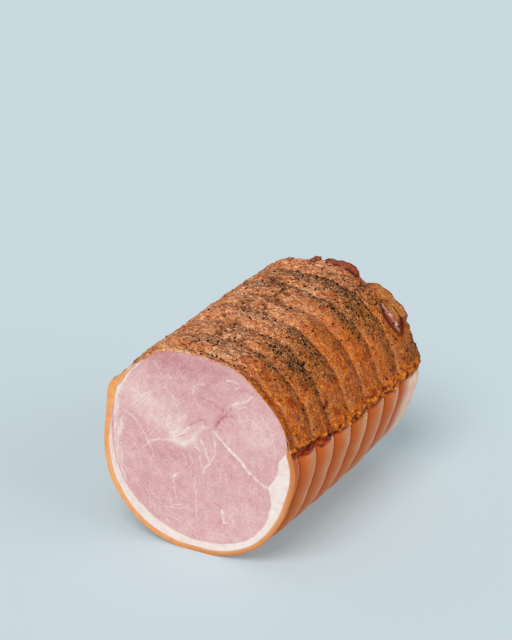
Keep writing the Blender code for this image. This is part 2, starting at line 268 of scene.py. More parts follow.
def closed_skin(name, outer, inner, fields, materials, front=0, step=4):
    """Closed skin of a fine outer grid, an inner grid of every step-th point and a strip round the border.

    fields holds one value for each outer point. Faces of the strip along the first row take the
    front-th material.
    """
    rows, columns = outer.shape[:2]
    number = np.arange(rows * columns).reshape(rows, columns)
    quads = np.stack([number[:-1, :-1], number[:-1, 1:], number[1:, 1:], number[1:, :-1]], -1)
    quads = quads.reshape(-1, 4)
    under_points = inner[::step, ::step]
    across, along = under_points.shape[:2]
    under = np.arange(across * along).reshape(across, along) + number.size
    under_quads = np.stack([under[1:, :-1], under[1:, 1:], under[:-1, 1:], under[:-1, :-1]], -1)
    under_quads = under_quads.reshape(-1, 4)

    def border(grid):
        return [*grid[0], *grid[1:, -1], *grid[-1, -2::-1], *grid[-2:0:-1, 0]]

    above, below = border(number), border(under)
    strip = []
    for k in range(len(below)):
        a, b = below[k], below[(k + 1) % len(below)]
        run = [above[(k * step + n) % len(above)] for n in range(step + 1)]
        middle = step // 2
        strip += [(a, run[n + 1], run[n]) for n in range(middle)]
        strip += [(a, b, run[middle])]
        strip += [(b, run[n + 1], run[n]) for n in range(middle, step)]
    faces = quads.tolist() + under_quads.tolist() + strip
    data = bpy.data.meshes.new(name)
    points = np.concatenate([outer.reshape(-1, 3), under_points.reshape(-1, 3)]) * 0.001
    data.from_pydata(points.tolist(), [], faces)
    for made in materials:
        data.materials.append(made)
    looks = np.zeros(len(faces), np.int32)
    first = len(quads) + len(under_quads)
    looks[first:first + (under.shape[1] - 1) * (step + 1)] = front
    data.polygons.foreach_set("material_index", looks)
    for key, values in {**fields, "inside": np.zeros(outer.shape[:2])}.items():
        below_values = np.ones(under.shape) if key == "inside" else values[::step, ::step]
        every = np.concatenate([np.ravel(values), np.ravel(below_values)]).astype(np.float32)
        data.attributes.new(key, "FLOAT", "POINT").data.foreach_set("value", every)
    mesh = bmesh.new()
    mesh.from_mesh(data)
    bmesh.ops.recalc_face_normals(mesh, faces=mesh.faces)
    mesh.to_mesh(data)
    mesh.free()
    data.shade_smooth()
    data.set_sharp_from_angle(angle=math.radians(55))
    return placed(name, data)


def linear(code):
    """The linear colour of an sRGB hex value."""
    parts = [int(code[i:i + 2], 16) / 255 for i in (1, 3, 5)]
    return (*[part / 12.92 if part <= 0.04045 else ((part + 0.055) / 1.055) ** 2.4 for part in parts], 1)


def feed(tree, made, inputs):
    """Gives each socket of a node its value, its colour or the socket that feeds it."""
    for key, value in inputs.items():
        if isinstance(value, bpy.types.NodeSocket):
            tree.links.new(value, made.inputs[key])
        else:
            made.inputs[key].default_value = linear(value) if isinstance(value, str) else value


def node(tree, kind, inputs, stops=(), out=0, **settings):
    """Adds a node with its settings, its inputs and the stops of its ramp, and returns its output."""
    made = tree.nodes.new("ShaderNode" + kind)
    for key, value in settings.items():
        setattr(made, key, value)
    feed(tree, made, inputs)
    for i, (place, colour) in enumerate(stops):
        stop = made.color_ramp.elements[i] if i < 2 else made.color_ramp.elements.new(place)
        stop.position = place
        stop.color = linear(colour) if isinstance(colour, str) else (colour, colour, colour, 1)
    return made.outputs[out]


def coated(tree, colour, coats):
    """The colour under thin coats of others, each as (coat, strength, one or more fields it keeps to)."""
    for coat, strength, share, *others in coats:
        for other in (*others, strength):
            share = node(tree, "Math", {0: share, 1: other}, operation="MULTIPLY", use_clamp=True)
        colour = node(tree, "Mix", {0: share, 6: colour, 7: coat}, out=2, data_type="RGBA")
    return colour


def new_material(name, fields=""):
    """A material, its tree, shader and coordinates in millimetres, and the mesh's fields that it reads."""
    made = bpy.data.materials.new(name)
    made.use_nodes = True
    tree = made.node_tree
    place = node(tree, "TexCoord", {}, out="Object")
    place = node(tree, "VectorMath", {0: place, "Scale": 1000}, operation="SCALE")
    seen = [node(tree, "Attribute", {}, out="Fac", attribute_name=field) for field in fields.split()]
    return made, tree, tree.nodes["Principled BSDF"], place, *seen


# Glazed pork skin: smooth and a little see-through, with a soft shine. Its colour carries painted shade and
# sheen across each pillow: deep orange just past each groove and in the grooves, paler towards the next
# groove, with a thin painted highlight before it. It is mottled about every 11 mm. Its pores are drawn 1.3 mm
# across where the real ones are finer, and the last pillows take a painted milky sheen in 6 mm streaks, where
# the skin is thin over fat.
glazed_skin, tree, shader, place, rib, groove, edge, rubbed, milky = new_material(
    "glazed pork skin", "rib groove edge rubbed milky"
)
mottle, pores, streaks = [
    node(tree, "TexNoise", {"Vector": place, "Scale": 1 / size, "Detail": detail, "Roughness": grit})
    for size, detail, grit in ((11, 4, 0.55), (1.3, 3, 0.6), (6, 3, 0.5))
]
glaze_and_sheen = node(tree, "ValToRGB", {0: rib}, (
    (0, "#b44a10"), (0.25, "#c4682c"), (0.5, "#d28658"), (0.8, "#dca07a"), (1, "#e8ba9a"),
))
browner = node(tree, "ValToRGB", {0: mottle}, ((0.38, 0), (0.68, 1)))
pitted = node(tree, "ValToRGB", {0: pores}, ((0.3, 0.16), (0.6, 0)))
veiled = node(tree, "MapRange", {0: streaks, 1: 0.35, 2: 0.65, 3: 0.65, 4: 1})
# Shreds of crust burnt onto the skin's edge, about 2 mm across and drawn out along the ham, darkened
# with painted shade in the crevice under the crust's edge
drawn_out = node(tree, "VectorMath", {0: place, 1: (1, 0.3, 1)}, operation="MULTIPLY")
crusted = node(tree, "TexNoise", {"Vector": drawn_out, "Scale": 1 / 2.2, "Detail": 2})
burnt_and_shade = node(tree, "ValToRGB", {0: crusted}, ((0.36, "#4a0a00"), (0.5, "#7c1c02"), (0.64, "#a84414")))
relief = node(tree, "Bump", {"Height": pores, "Strength": 0.35, "Distance": 0.00012})
# The coats below hold painted shade in the grooves and in the crevice under the crust, a painted highlight
# line before each groove and a painted milky sheen on the last pillows
feed(tree, shader, {
    "Base Color": coated(tree, glaze_and_sheen, (
        ("#ba5208", 0.4, browner), ("#9a3a06", 0.75, groove), ("#7a3414", 1, pitted),
        ("#fae2d0", 1, rubbed), ("#ecc8b2", 1, veiled, milky), (burnt_and_shade, 1, edge),
    )),
    "Roughness": node(tree, "MapRange", {0: mottle, 1: 0.3, 2: 0.7, 3: 0.34, 4: 0.46}),
    "Specular IOR Level": 0.12,
    "Subsurface Weight": 0.08,
    "Subsurface Radius": (1, 0.4, 0.2),
    "Subsurface Scale": 0.002,
    "Normal": node(tree, "Bump", {"Height": mottle, "Normal": relief, "Strength": 0.5, "Distance": 0.0006}),
})

# The same skin cut through: clear orange gelatine, paler towards the fat, and clearer on the left
# where it is thinner. It is cloudy about every 4 mm.
cut_skin, tree, shader, place, inside, brown, clear = new_material("cut pork skin", "inside brown clear")
layers = node(tree, "ValToRGB", {0: inside}, (
    (0, "#b45a20"), (0.15, "#d48444"), (0.6, "#dc9458"), (0.9, "#e4ac7c"), (1, "#f0ccb0"),
))
grain = node(tree, "TexNoise", {"Vector": place, "Scale": 1 / 4, "Detail": 3})
cloudy = node(tree, "ValToRGB", {0: grain}, ((0.4, 0), (0.7, 0.35)))
feed(tree, shader, {
    "Base Color": coated(tree, layers, (
        ("#c86c24", 1, brown), ("#fab070", 0.8, clear), ("#ce7636", 1, cloudy),
    )),
    "Roughness": 0.4,
    "Subsurface Weight": 0.15,
    "Subsurface Radius": (1, 0.5, 0.2),
    "Subsurface Scale": 0.002,
})

ROWS_PER_RING = 24
ROW_CROWDING = 0.7
RIND_COLUMNS = 260
ROUNDING_ROWS = 12
places = []
for start, end in zip(RINGS, RINGS[1:]):
    share = np.arange(ROWS_PER_RING) / ROWS_PER_RING
    # Rows crowd towards each groove, where the skin turns sharply
    places += list(start + (end - start) * (share - ROW_CROWDING * np.sin(2 * np.pi * share) / (2 * np.pi)))
places = np.array([0] + [spot for spot in places if 0.4 < spot < SIDE_END - 0.5])
rounding_count = ROUNDING_ROWS + (1 - len(places) - ROUNDING_ROWS) % 4
last_lean = math.acos(1 - RIND_END_LOSS) * 2 / math.pi
rounding_place, rounding_lost = rounding_rows(last_lean, rounding_count)
place_rows = np.concatenate([places, rounding_place])[:, None]
lost_rows = np.concatenate([np.zeros(len(places)), rounding_lost])[:, None]
share = np.linspace(0, 1, RIND_COLUMNS + 1)[None, :]
tuck = math.degrees(RIND_TUCK / AROUND)
left, right = eased(LEFT_EDGE, place_rows), eased(RIGHT_EDGE, place_rows) + 360
# At the cut the skin runs on under the crust at the left, in a thin wedge
left_tuck = tuck + 15 * (1 - smooth(place_rows, 2, 8))
angle = (left - left_tuck) + (right - left + left_tuck + tuck) * share
beyond = np.radians(np.minimum(angle - left, right - angle)) * AROUND
side = 1 - lost_rows / ROUNDING_RADIUS


def edge_rag(place, beyond):
    """How far the torn edge stands up, about 1."""
    return 0.75 + 0.5 * rough(place / 6, beyond / 9, 3.7)


waver = 0.5 * skin_noise(place_rows, angle, 16, 30, 41) * smooth(place_rows / 10)
low = turn_from(angle, 0)
# Past the middle the net slanted away under the joint
slant = 7 * smooth(place_rows, 85, 90) * smooth(-low, 12, 24) * smooth(low, -150, 30)
ringed = place_rows + waver - slant
ring_gap = ring_distance(ringed)
# The net's twisted cord printed its strands in each groove
cord_twist = np.sin(np.radians(angle) * AROUND * 2 * np.pi / CORD_PITCH + ringed)
cord_twist = CORD_PRINT * cord_twist * hump(ring_gap, 1.6)
# The gap under the crust's edge is widest at the front right, and closed on the left
on_right = smooth(angle, 270, 20)
gape = on_right + 0.25 * (1 - on_right) * smooth(place_rows / 20)
reach = 2.2 + 4.2 * hump(place_rows - 15, 19, 4) + 3.8 * hump(place_rows - 41, 8, 4)
reach = reach + 0.7 * rough(place_rows / 8, 0.5, 6)
rind_relief = (
    -RIND_RING_DEPTH * (1 - pillow(ringed, RIND_FULLNESS)) * side
    - CREVICE_DEPTH * gape * edge_rag(place_rows, beyond) * (1 - smooth(beyond / CREVICE_WIDTH))
    * (0.3 + 0.7 * side) * (0.15 + 0.85 * smooth(place_rows / 4))
    - (1.6 - 0.6 * gape) * smooth(-beyond / 1.5)
    + RIND_LUMP * skin_noise(place_rows, angle, LUMP_SIZE, LUMP_SIZE, 11)
    + 0.22 * skin_noise(place_rows, angle, 9, 14, 7)
    + 0.07 * skin_noise(place_rows, angle, 3, 5, 2)
    + cord_twist * side
)
outer = form(place_rows, angle, lost_rows, 1, rind_relief, 0.4)
outer[0, :, 1] = CUT_Y
thinned = np.where(angle > 250, 0.35 + 0.65 * smooth((beyond + RIND_TUCK) / 5), 1)
inner = towards_axis(outer, round_curve(RIND_CUT)(angle) * thinned)
to_next = (1 - ring_phase(ringed)) * RING_SPACING
rind = closed_skin(
    "rind",
    outer,
    inner,
    {
        # Place across each pillow, which the glaze's painted shade and sheen follow
        "rib": np.where(ringed < RINGS[1], 0.16, ring_phase(ringed)),
        # Painted shade in the grooves
        "groove": hump(ring_gap, 0.9) * np.ones_like(angle),
        # A thin painted highlight runs just before each groove, stronger towards the far end
        "rubbed": hump(to_next - 1.5, 0.8) * (0.5 + 0.45 * smooth(place_rows, 30, 90)),
        # The last pillows are painted pale and milky, a painted sheen where the skin is also thin over fat
        "milky": smooth(ringed, 154, 12) + 0.3 * smooth(ringed, 140, 10) * (ringed < RINGS[-2]),
        "clear": smooth(-np.cos(np.radians(angle - 10)) / 0.9),
        "brown": 0.6 * smooth(angle, 332, 30),
        # Burnt shreds and painted shade in the crevice under the crust's edge
        "edge": limited(gape * (1 - smooth((beyond - reach + 0.8) / 1))),
    },
    [glazed_skin, cut_skin],
    front=1,
)
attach(rind, "root")
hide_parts("ham")


# Crust
# The skinless top and far end, rubbed with cracked and ground pepper and browned in the oven. It is
# a dry skin of meat and rendered fat, wrinkled, pitted and crackled, with the net's rings pressed in.

CRUST_RING_DEPTH = 2.6
CRUST_FULLNESS = 1.1
CRUST_LUMP = 1.3
CRUST_CUT = 1.3
CRUST_THICKNESS = 2.4
LIP_HEIGHT = 1.3
LIP_WIDTH = 6
CRUST_ROWS = 300
CRUST_COLUMNS = 252
CRUST_ROUNDING_ROWS = 34
# Splits and creases in the crust, as (width, depth, (place, degrees) along each)
CRACKS = (
    (1, 1.6, ((64.5, 103), (66, 101), (68, 99), (70, 96), (72, 94.5))),
    (0.8, 1, ((70, 104), (72.5, 100.5), (75, 97))),
    (1.1, 1.5, ((93, 92.5), (91, 91), (87, 87.5), (84, 85), (84.5, 82.5), (88, 80.5))),
    (0.9, 1.2, ((42.5, 98), (42, 93), (39, 89), (36, 87))),
    (1.1, 1.5, ((34, 91), (29, 86), (29, 82), (32, 78), (36, 75))),
    (0.9, 1.2, ((105, 88.5), (108, 88), (112, 88), (118, 87))),
    (0.8, 0.9, ((41, 83), (40, 79), (41, 73), (43, 68))),
    (0.8, 0.8, ((8, 98), (15, 96), (17, 91))),
    (0.9, 0.9, ((131, 104), (130, 100), (132, 95))),
    (1.1, 1.3, ((166, 92.5), (170, 91.6), (176, 92.6), (183, 91.2))),
    (0.9, 0.8, ((33, 88.5), (38, 91), (42, 93.5), (46, 96.5), (50, 99))),
    (0.9, 0.8, ((58, 97), (61, 100), (66, 101))),
    (0.9, 0.7, ((14, 101), (20, 98.5), (25, 98))),
    (1, 0.9, ((62, 116), (70, 113.5), (77, 115))),
    (1, 0.9, ((104, 118), (112, 116), (121, 118.5))),
    (1, 0.8, ((140, 122), (149, 118), (158, 120))),
    (1, 0.9, ((24, 124), (34, 120.5), (45, 122))),
)
# Where ground pepper lies thick, as (place, degrees, half length, half width in degrees, amount)
PEPPERED = (
    (39, 54, 12, 17, 1.2), (51, 43, 7, 11, 1), (68, 54, 9, 15, 0.75), (60, 66, 8, 10, 0.35),
    (84, 62, 8, 16, 0.3), (91, 46, 6, 10, 0.3), (120, 62, 9, 16, 0.6), (108, 84, 14, 8, 0.5),
    (140, 54, 13, 20, 1.5), (148, 74, 12, 13, 1), (159, 55, 10, 14, 1.2), (16, 82, 14, 14, 0.5),
    (12, 58, 10, 14, 0.25), (36, 84, 10, 10, 0.5), (70, 88, 14, 10, 0.35), (156, 20, 14, 9, 0.3),
    (176, 16, 10, 9, 0.6), (30, 104, 24, 10, 0.35), (118, 100, 20, 10, 0.3),
    (128, 53, 8, 8, 0.5), (60, 58, 9, 8, 0.5), (58, 41, 10, 9, 0.55), (70, 36, 6, 7, 0.35),
    (122, 100, 10, 12, 0.75), (144, 94, 9, 15, 0.8), (86, 92, 9, 10, 0.4),
)
# Smooth caramelised glaze, and pale patches where pink meat shows through, laid out alike
GLAZED = (
    (88, 46, 9, 16, 0.75), (12, 36, 9, 17, 0.5), (36, 24, 9, 9, 0.5), (64, 24, 9, 10, 0.6),
    (112, 21, 13, 9, 0.9), (136, 24, 12, 9, 1), (165, 22, 9, 8, 0.9), (88, 20, 9, 9, 0.7),
    (108, 48, 6, 12, 0.5), (62, 92, 7, 6, 0.5), (80, 122, 90, 5, 0.9), (166, 78, 8, 9, 0.5),
    (150, 36, 6, 8, 0.6),
)
PALE = (
    (4, 104, 5, 15, 1.1), (30, 100, 9, 7, 0.9), (13, 75, 5, 6, 0.8), (184, 52, 7, 12, 1.1),
    (34, 76, 4, 7, 1), (68, 89, 10, 9, 1.6), (16, 84, 8, 7, 0.9), (64, 101, 8, 5, 0.7),
    (46, 90, 6, 6, 0.6), (57, 77, 5, 7, 0.7), (81, 74, 5, 9, 0.6), (105, 66, 5, 11, 0.9),
    (84, 98, 8, 8, 0.9), (44, 78, 7, 5, 0.5), (131, 76, 4, 7, 0.5), (158, 84, 5, 8, 0.8),
    (170, 60, 6, 6, 0.8), (10, 70, 6, 9, 0.4), (98, 110, 10, 10, 0.7), (134, 98, 9, 7, 0.5),
    (52, 110, 14, 8, 0.6), (20, 118, 12, 8, 0.6), (166, 100, 8, 8, 0.6),
)
# Eye-shaped tear that shows smooth meat: place, degrees, half length round the ham, half width, slant
POCKET = (166.8, 37.2, 13.5, 9.6, 0.13)
# Swells of the crust along the far rim, as (place, degrees, half length, half width in degrees, height)
LOBES = (
    (182, 24, 9, 8, 2.8), (188, 11.5, 8, 4.5, 3.8), (180, 46, 8, 9, 1.2), (184, 97, 7, 3.5, 0.8),
    (182, 66, 9, 8, -2.6),
)


def patches(spots, place, angle):
    """Sum of soft round patches."""
    return sum(
        amount * np.exp(-((place - s) / long) ** 2 - (turn_from(angle, middle) / wide) ** 2)
        for s, middle, long, wide, amount in spots
    )


def line_distance(x, y, path):
    """Distance from each point to a broken line."""
    best = np.full(np.broadcast(x, y).shape, 1e9)
    for (x0, y0), (x1, y1) in zip(path, path[1:]):
        run, rise = x1 - x0, y1 - y0
        share = limited(((x - x0) * run + (y - y0) * rise) / (run ** 2 + rise ** 2))
        best = np.minimum(best, np.hypot(x - x0 - share * run, y - y0 - share * rise))
    return best


def crust_looks(place, angle, beyond, side):
    """Relief of the crust and the fields that colour it, at places and angles on it."""
    flat = np.radians(angle) * AROUND
    ringed = place + 0.9 * skin_noise(place, angle, 13, 26, 61) * smooth(place / 10)
    ringed = ringed + 3.5 * hump(angle - 26, 13) * smooth(place, 30, 25)
    ring_gap = ring_distance(ringed)
    phase = ring_phase(ringed)
    wander = 1.2 * rough(place / 4, flat / 4, 1.3)
    waver = 1.2 * rough(place / 4, flat / 4, 8.3)
    fine = skin_noise(place, angle, 2.1, 2.1, 3)
    finer = skin_noise(place, angle, 1, 1, 9)
    pitted = skin_noise(place, angle, 4.6, 4.6, 15)
    folds = skin_noise(place + 4 * pitted, angle, 15, 5, 31)
    shared = skin_noise(place, angle, 17, 17, 47)
    streak = skin_noise(place + 1.5 * pitted, angle, 11, 2.8, 55)
    upper = smooth(angle, 62, 40)
    paler = smooth(angle, 44, 42)
    small = skin_noise(place + 2 * pitted, angle, 9, 2.6, 35)
    crease = hump(folds, 0.05) * smooth(shared, -0.2, 0.3) * (0.15 + 0.85 * upper)
    short = 0.75 * hump(small, 0.07) * smooth(streak, -0.1, 0.3) * (0.2 + 0.8 * paler)
    crease = np.maximum(crease, short)
    ridge = hump(small - 0.2, 0.09) * smooth(streak, -0.15, 0.3) * (0.25 + 0.75 * paler)
    glow = hump(folds, 0.2) * smooth(shared, -0.2, 0.3) * (0.2 + 0.8 * upper)
    off_cut = 0.35 + 0.65 * smooth(place, 8, 12)
    shading = (0.8 + 0.2 * smooth(angle, 30, 20)) * off_cut
    zone = (0.22 + 0.78 * smooth(angle, 36, 18)) * off_cut
    peppered = patches(PEPPERED, place, angle) * (0.45 + 0.85 * smooth(phase / 0.85))
    peppered = np.clip(peppered * (0.9 + 1.3 * pitted + 0.5 * fine), 0, 1.3)
    glazed = limited(patches(GLAZED, place, angle) * (1 + 0.8 * pitted))
    pale = patches(PALE, place, angle) * (0.8 + 1.8 * streak + 0.8 * pitted + 0.5 * fine)
    pale = pale + 0.7 * smooth(streak, 0.16, 0.25) * (0.25 + 0.75 * upper)
    # Ridges are painted pale, a painted highlight on their crests
    pale = limited(np.maximum(pale, 0.9 * ridge))
    split = np.zeros(np.broadcast(place, angle).shape)
    cracks = np.zeros_like(split)
    for width, depth, path in CRACKS:
        path = [(s, math.radians(a) * AROUND) for s, a in path]
        gap = line_distance(place + 0.5 * wander, flat + 0.5 * waver, path)
        shape = hump(gap, width)
        split = split + depth * (shape - 0.35 * hump(gap - 2.2 * width, width))
        shape = shape * min(1, 0.4 + 0.6 * depth) * np.clip(0.8 + 1.6 * pitted, 0.25, 1)
        cracks = np.maximum(cracks, shape)
    middle_place, middle_angle, half_long, half_wide, slant = POCKET
    u = np.radians(turn_from(angle, middle_angle)) * AROUND
    v = place - middle_place - slant * u
    eye = half_wide * np.maximum(0.02, 1 - (np.abs(u) / half_long) ** 2.2)
    inside = 1 - smooth((np.abs(v) / eye - 0.82) / 0.28)
    inside = inside * (np.abs(u) < half_long)
    between_ends = smooth((half_long + 1.5 - np.abs(u)) / 3)
    rim = hump(np.abs(v) - eye - 0.4, 1.8) * between_ends
    near_rim = hump(-v - eye + 0.9, 2) * between_ends
    lip_width = (2.8 + LIP_WIDTH * smooth(place, 34, 30)) * (1 + 0.5 * rough(place / 7, 2, 5))
    lip = 1 - smooth((-beyond - 0.4 * lip_width) / (0.6 * lip_width))
    # The crust lies lower and plainer along its left edge
    plainer = np.where(angle > 90, 0.3, 1)
    strands = skin_noise(place, angle, 2.2, 4.6, 77) + 0.5 * fine
    bubbles = np.maximum(0, strands) * lip
    relief = (
        -CRUST_RING_DEPTH * (0.6 + 0.4 * zone) * (1 - pillow(ringed, CRUST_FULLNESS, 0.75)) * side
        - 0.5 * hump(ring_gap, 0.8) * side
        + CRUST_LUMP * skin_noise(place, angle, LUMP_SIZE, LUMP_SIZE, 11)
        + LIP_HEIGHT * plainer * edge_rag(place, beyond) * lip * (0.3 + 0.7 * side)
        + 2.2 * plainer * bubbles
        + 1.2 * (0.3 + 0.7 * upper) * folds
        - 0.9 * crease + 0.5 * streak * (0.4 + 0.6 * upper) + 0.35 * ridge
        + 0.5 * pitted * (0.5 + 0.6 * upper + 0.4 * peppered)
        + (0.3 + 0.12 * peppered) * fine * (1 - 0.6 * glazed)
        + 0.16 * finer
        - split
        - 1.3 * inside + 0.5 * rim + 0.5 * near_rim
        + patches(LOBES, place, angle) * (1 + 0.5 * pitted)
    )
    corner = smooth(angle, 131, 5) * (1 - smooth(place, 16, 20)) * (0.75 + 1.6 * pitted)
    fields = {
        "peppered": peppered,
        "glazed": glazed,
        "pale": pale,
        # Painted shade in the splits, in the creases and round the tear's rim
        "crack": limited(np.maximum(np.maximum(cracks, 0.9 * crease), 0.95 * rim)),
        "glow": limited(glow),
        "pocket": inside,
        # A painted highlight on the meat inside the tear
        "core": inside * hump(v / eye - 0.12, 0.36) * (0.75 + 1.2 * pitted),
        "fold": limited(near_rim * (0.8 + 0.5 * pitted) + corner),
        "lip": lip * plainer,
        # Painted light just past each ring, with a thin painted highlight line beside it, and painted shade
        # towards the next ring, as each pillow turns towards the light and then away from it
        "facing": side * limited(
            (0.6 + 1.2 * pitted + 0.8 * streak) * shading * hump(phase, 0.3) * (1 - 0.6 * glazed)
            + 0.9 * hump(phase * RING_SPACING - 1.1, 0.7) * (0.7 + 1.6 * pitted)
        ),
        "hollow": side * limited(
            smooth(phase, 0.5, 0.45) * (0.8 + 1.2 * pitted + 0.6 * streak) * shading
        ),
        "bubble": limited(2.4 * bubbles) * plainer,
        # Darker between the lip's bubbles: dark spots of the fat and painted shade
        "sunk": lip * limited(-2.6 * strands),
        "upper": limited(paler * (1 + 0.8 * shared)),
        # Painted shade in the ring grooves
        "groove": limited(hump(ring_gap, 0.8) * side * (0.6 + 2 * pitted) * (0.4 + 0.6 * zone)),
    }
    return relief, fields


# Browned crust: matt and grainy where pepper lies, glossy and orange where fat ran and set. It is
# browned in spots 10 mm and 4.6 mm across. Grains of meat and fat are about 1.5 mm across. The flecks
# between them are drawn 1.1 mm across where the real ones are finer, and the wrinkles of the dried
# skin lie about 3 mm apart. Towards the top grains and wrinkles are drawn out round the ham.
(
    browned_crust, tree, shader, place, peppered, glazed, pale, crack, glow, pocket, core, lip, bubble,
    sunk, upper, groove, facing, hollow, fold,
) = new_material(
    "browned peppered crust",
    "peppered glazed pale crack glow pocket core lip bubble sunk upper groove facing hollow fold",
)
around = node(tree, "VectorMath", {0: place, 1: (0.26, 1, 0.26)}, operation="MULTIPLY")
broad, patchy, grains, strands, flecks, wrinkles, flowing = [
    node(tree, "TexNoise", {
        "Vector": laid, "Scale": 1 / size, "Detail": detail, "Roughness": grit, "Distortion": bend
    })
    for laid, size, detail, grit, bend in (
        (place, 10, 3, 0.6, 0), (place, 4.6, 2, 0.5, 0.8), (place, 1.6, 1.5, 0.5, 0),
        (around, 1.5, 1.5, 0.5, 0.4), (place, 1.1, 1, 0.5, 0), (place, 3, 1, 0.5, 1.2),
        (around, 2.7, 1, 0.5, 0.7),
    )
]
cells = node(tree, "TexVoronoi", {"Vector": place, "Scale": 1 / 1.7}, out="Distance")
wrinkles = node(tree, "Mix", {0: upper, 2: wrinkles, 3: flowing})
grains = node(tree, "Mix", {0: upper, 2: grains, 3: strands})
# Parts of the patterns, as (pattern, start, end, how much of it there is at the start)
reddish, pinkish, light, dark, ground, chips, glints = [
    node(tree, "ValToRGB", {0: pattern}, ((start, there), (end, 1 - there)))
    for pattern, start, end, there in (
        (patchy, 0.38, 0.5, 1), (patchy, 0.54, 0.64, 0), (grains, 0.53, 0.64, 0),
        (grains, 0.36, 0.47, 1), (flecks, 0.42, 0.52, 1), (cells, 0.18, 0.3, 1),
        (flecks, 0.56, 0.66, 0),
    )
]
# Each wrinkle has a painted highlight on one flank beside painted shade on the other
lit, shaded = [
    node(tree, "ValToRGB", {0: wrinkles}, [
        (middle + step, float(step == 0)) for middle in middles for step in (-0.04, 0, 0.04)
    ])
    for middles in ((0.38, 0.52, 0.66), (0.31, 0.45, 0.59))
]
matt = node(tree, "MapRange", {0: peppered, 1: 0, 2: 0.8, 3: 0.28, 4: 0.9})
clustered = node(tree, "MapRange", {0: patchy, 1: 0.4, 2: 0.56, 3: 0.3, 4: 1})
speckled = node(tree, "Math", {0: upper, 1: 0.45}, operation="MULTIPLY")
speckled = node(tree, "Math", {0: speckled, 1: peppered}, operation="MAXIMUM")
bright = coated(tree, "#f4a048", (("#fcd4ac", 1, upper),))
deep = coated(tree, "#4c1200", (("#8a3c12", 1, upper),))
brown = node(tree, "ValToRGB", {0: broad}, (
    (0.36, "#661600"), (0.44, "#9e3000"), (0.51, "#c04e02"), (0.58, "#d66a08"), (0.66, "#aa3a00"),
))
tan = node(tree, "ValToRGB", {0: patchy}, (
    (0.36, "#9c4010"), (0.45, "#ca6c30"), (0.53, "#e29054"), (0.62, "#f6b692"), (0.7, "#cc7434"),
))
gloss = node(tree, "MapRange", {0: grains, 1: 0.3, 2: 0.7, 3: 0.38, 4: 0.6})
for wet, smoother in ((glazed, 0.33), (pocket, 0.25)):
    gloss = node(tree, "Mix", {0: wet, 2: gloss, 3: smoother})
relief = node(tree, "Bump", {"Height": grains, "Strength": 1, "Distance": 0.0009})
relief = node(tree, "Bump", {"Height": flecks, "Normal": relief, "Strength": 0.8, "Distance": 0.0005})
# The coats below hold painted light and shade: light past each ring and shade towards the next, shade in the
# ring grooves, splits, creases and round the tear, highlights on wrinkles, on ridges and inside the tear,
# glints, and shade between the lip's bubbles.
feed(tree, shader, {
    "Base Color": coated(tree, brown, (
        (tan, 0.85, upper), ("#862202", 0.7, reddish), ("#dc7c3c", 0.5, pinkish),
        ("#cc5a00", 0.65, glazed), ("#5a1602", 0.85, hollow), ("#e4a884", 0.8, pale),
        ("#e08c54", 0.85, facing), ("#56300e", 0.6, peppered), ("#bd5f14", 0.5, glow),
        (bright, 0.5, light, matt), (deep, 0.8, dark, matt),
        (deep, 0.72, shaded), (bright, 0.75, lit, clustered),
        ("#38200e", 0.7, ground, peppered), ("#1c1716", 0.5, chips, peppered),
        # Painted glints on the flecks where pepper lies and towards the top
        ("#e8b074", 0.5, glints, speckled),
        ("#b84600", 0.75, lip), ("#ec7e10", 0.7, bubble),
        ("#641a00", 0.9, lip, shaded), ("#fcac48", 0.85, lip, lit),
        ("#5c1600", 0.9, sunk), ("#4c1402", 0.7, groove), ("#862c0e", 1, pocket),
        ("#dcb4a6", 0.9, core), ("#6c1c0a", 0.85, fold), ("#360f07", 0.95, crack),
    )),
    "Roughness": gloss,
    "Specular IOR Level": 0.06,
    "Subsurface Weight": 0.04,
    "Subsurface Radius": (1, 0.4, 0.2),
    "Subsurface Scale": 0.0015,
    "Normal": node(tree, "Bump", {"Height": lit, "Normal": relief, "Strength": 0.6, "Distance": 0.0004}),
})

# The crust cut through: a thin tan line, browner outside, and peach where it is thick at the top.
cut_crust, tree, shader, place, inside, upper = new_material("cut crust", "inside upper")
layers = node(tree, "ValToRGB", {0: inside}, (
    (0, "#9c3c08"), (0.3, "#c8641c"), (0.7, "#dc9050"), (1, "#eab48c"),
))
streaks = node(tree, "TexNoise", {"Vector": place, "Scale": 1 / 3, "Detail": 2})
peach = node(tree, "ValToRGB", {0: streaks}, ((0.4, "#d8803a"), (0.6, "#f0c09a")))
feed(tree, shader, {"Base Color": coated(tree, layers, ((peach, 1, upper),)), "Roughness": 0.5})

rounding_place, rounding_lost = rounding_rows(1, CRUST_ROUNDING_ROWS)
dome_count = 7
side_count = CRUST_ROWS + 1 - CRUST_ROUNDING_ROWS - dome_count
side_place = np.linspace(0, SIDE_END, side_count, endpoint=False)
place_rows = np.concatenate([side_place, rounding_place, np.full(dome_count, LENGTH)])[:, None]
lost_rows = np.concatenate([np.zeros(side_count), rounding_lost, np.full(dome_count, ROUNDING_RADIUS)])
dome_rows = np.concatenate([np.ones(CRUST_ROWS + 1 - dome_count), np.linspace(0.985, 0.9, dome_count)])
lost_rows, dome_rows = lost_rows[:, None], dome_rows[:, None]
share = np.linspace(0, 1, CRUST_COLUMNS + 1)[None, :]
right, left = eased(RIGHT_EDGE, place_rows), eased(LEFT_EDGE, place_rows)
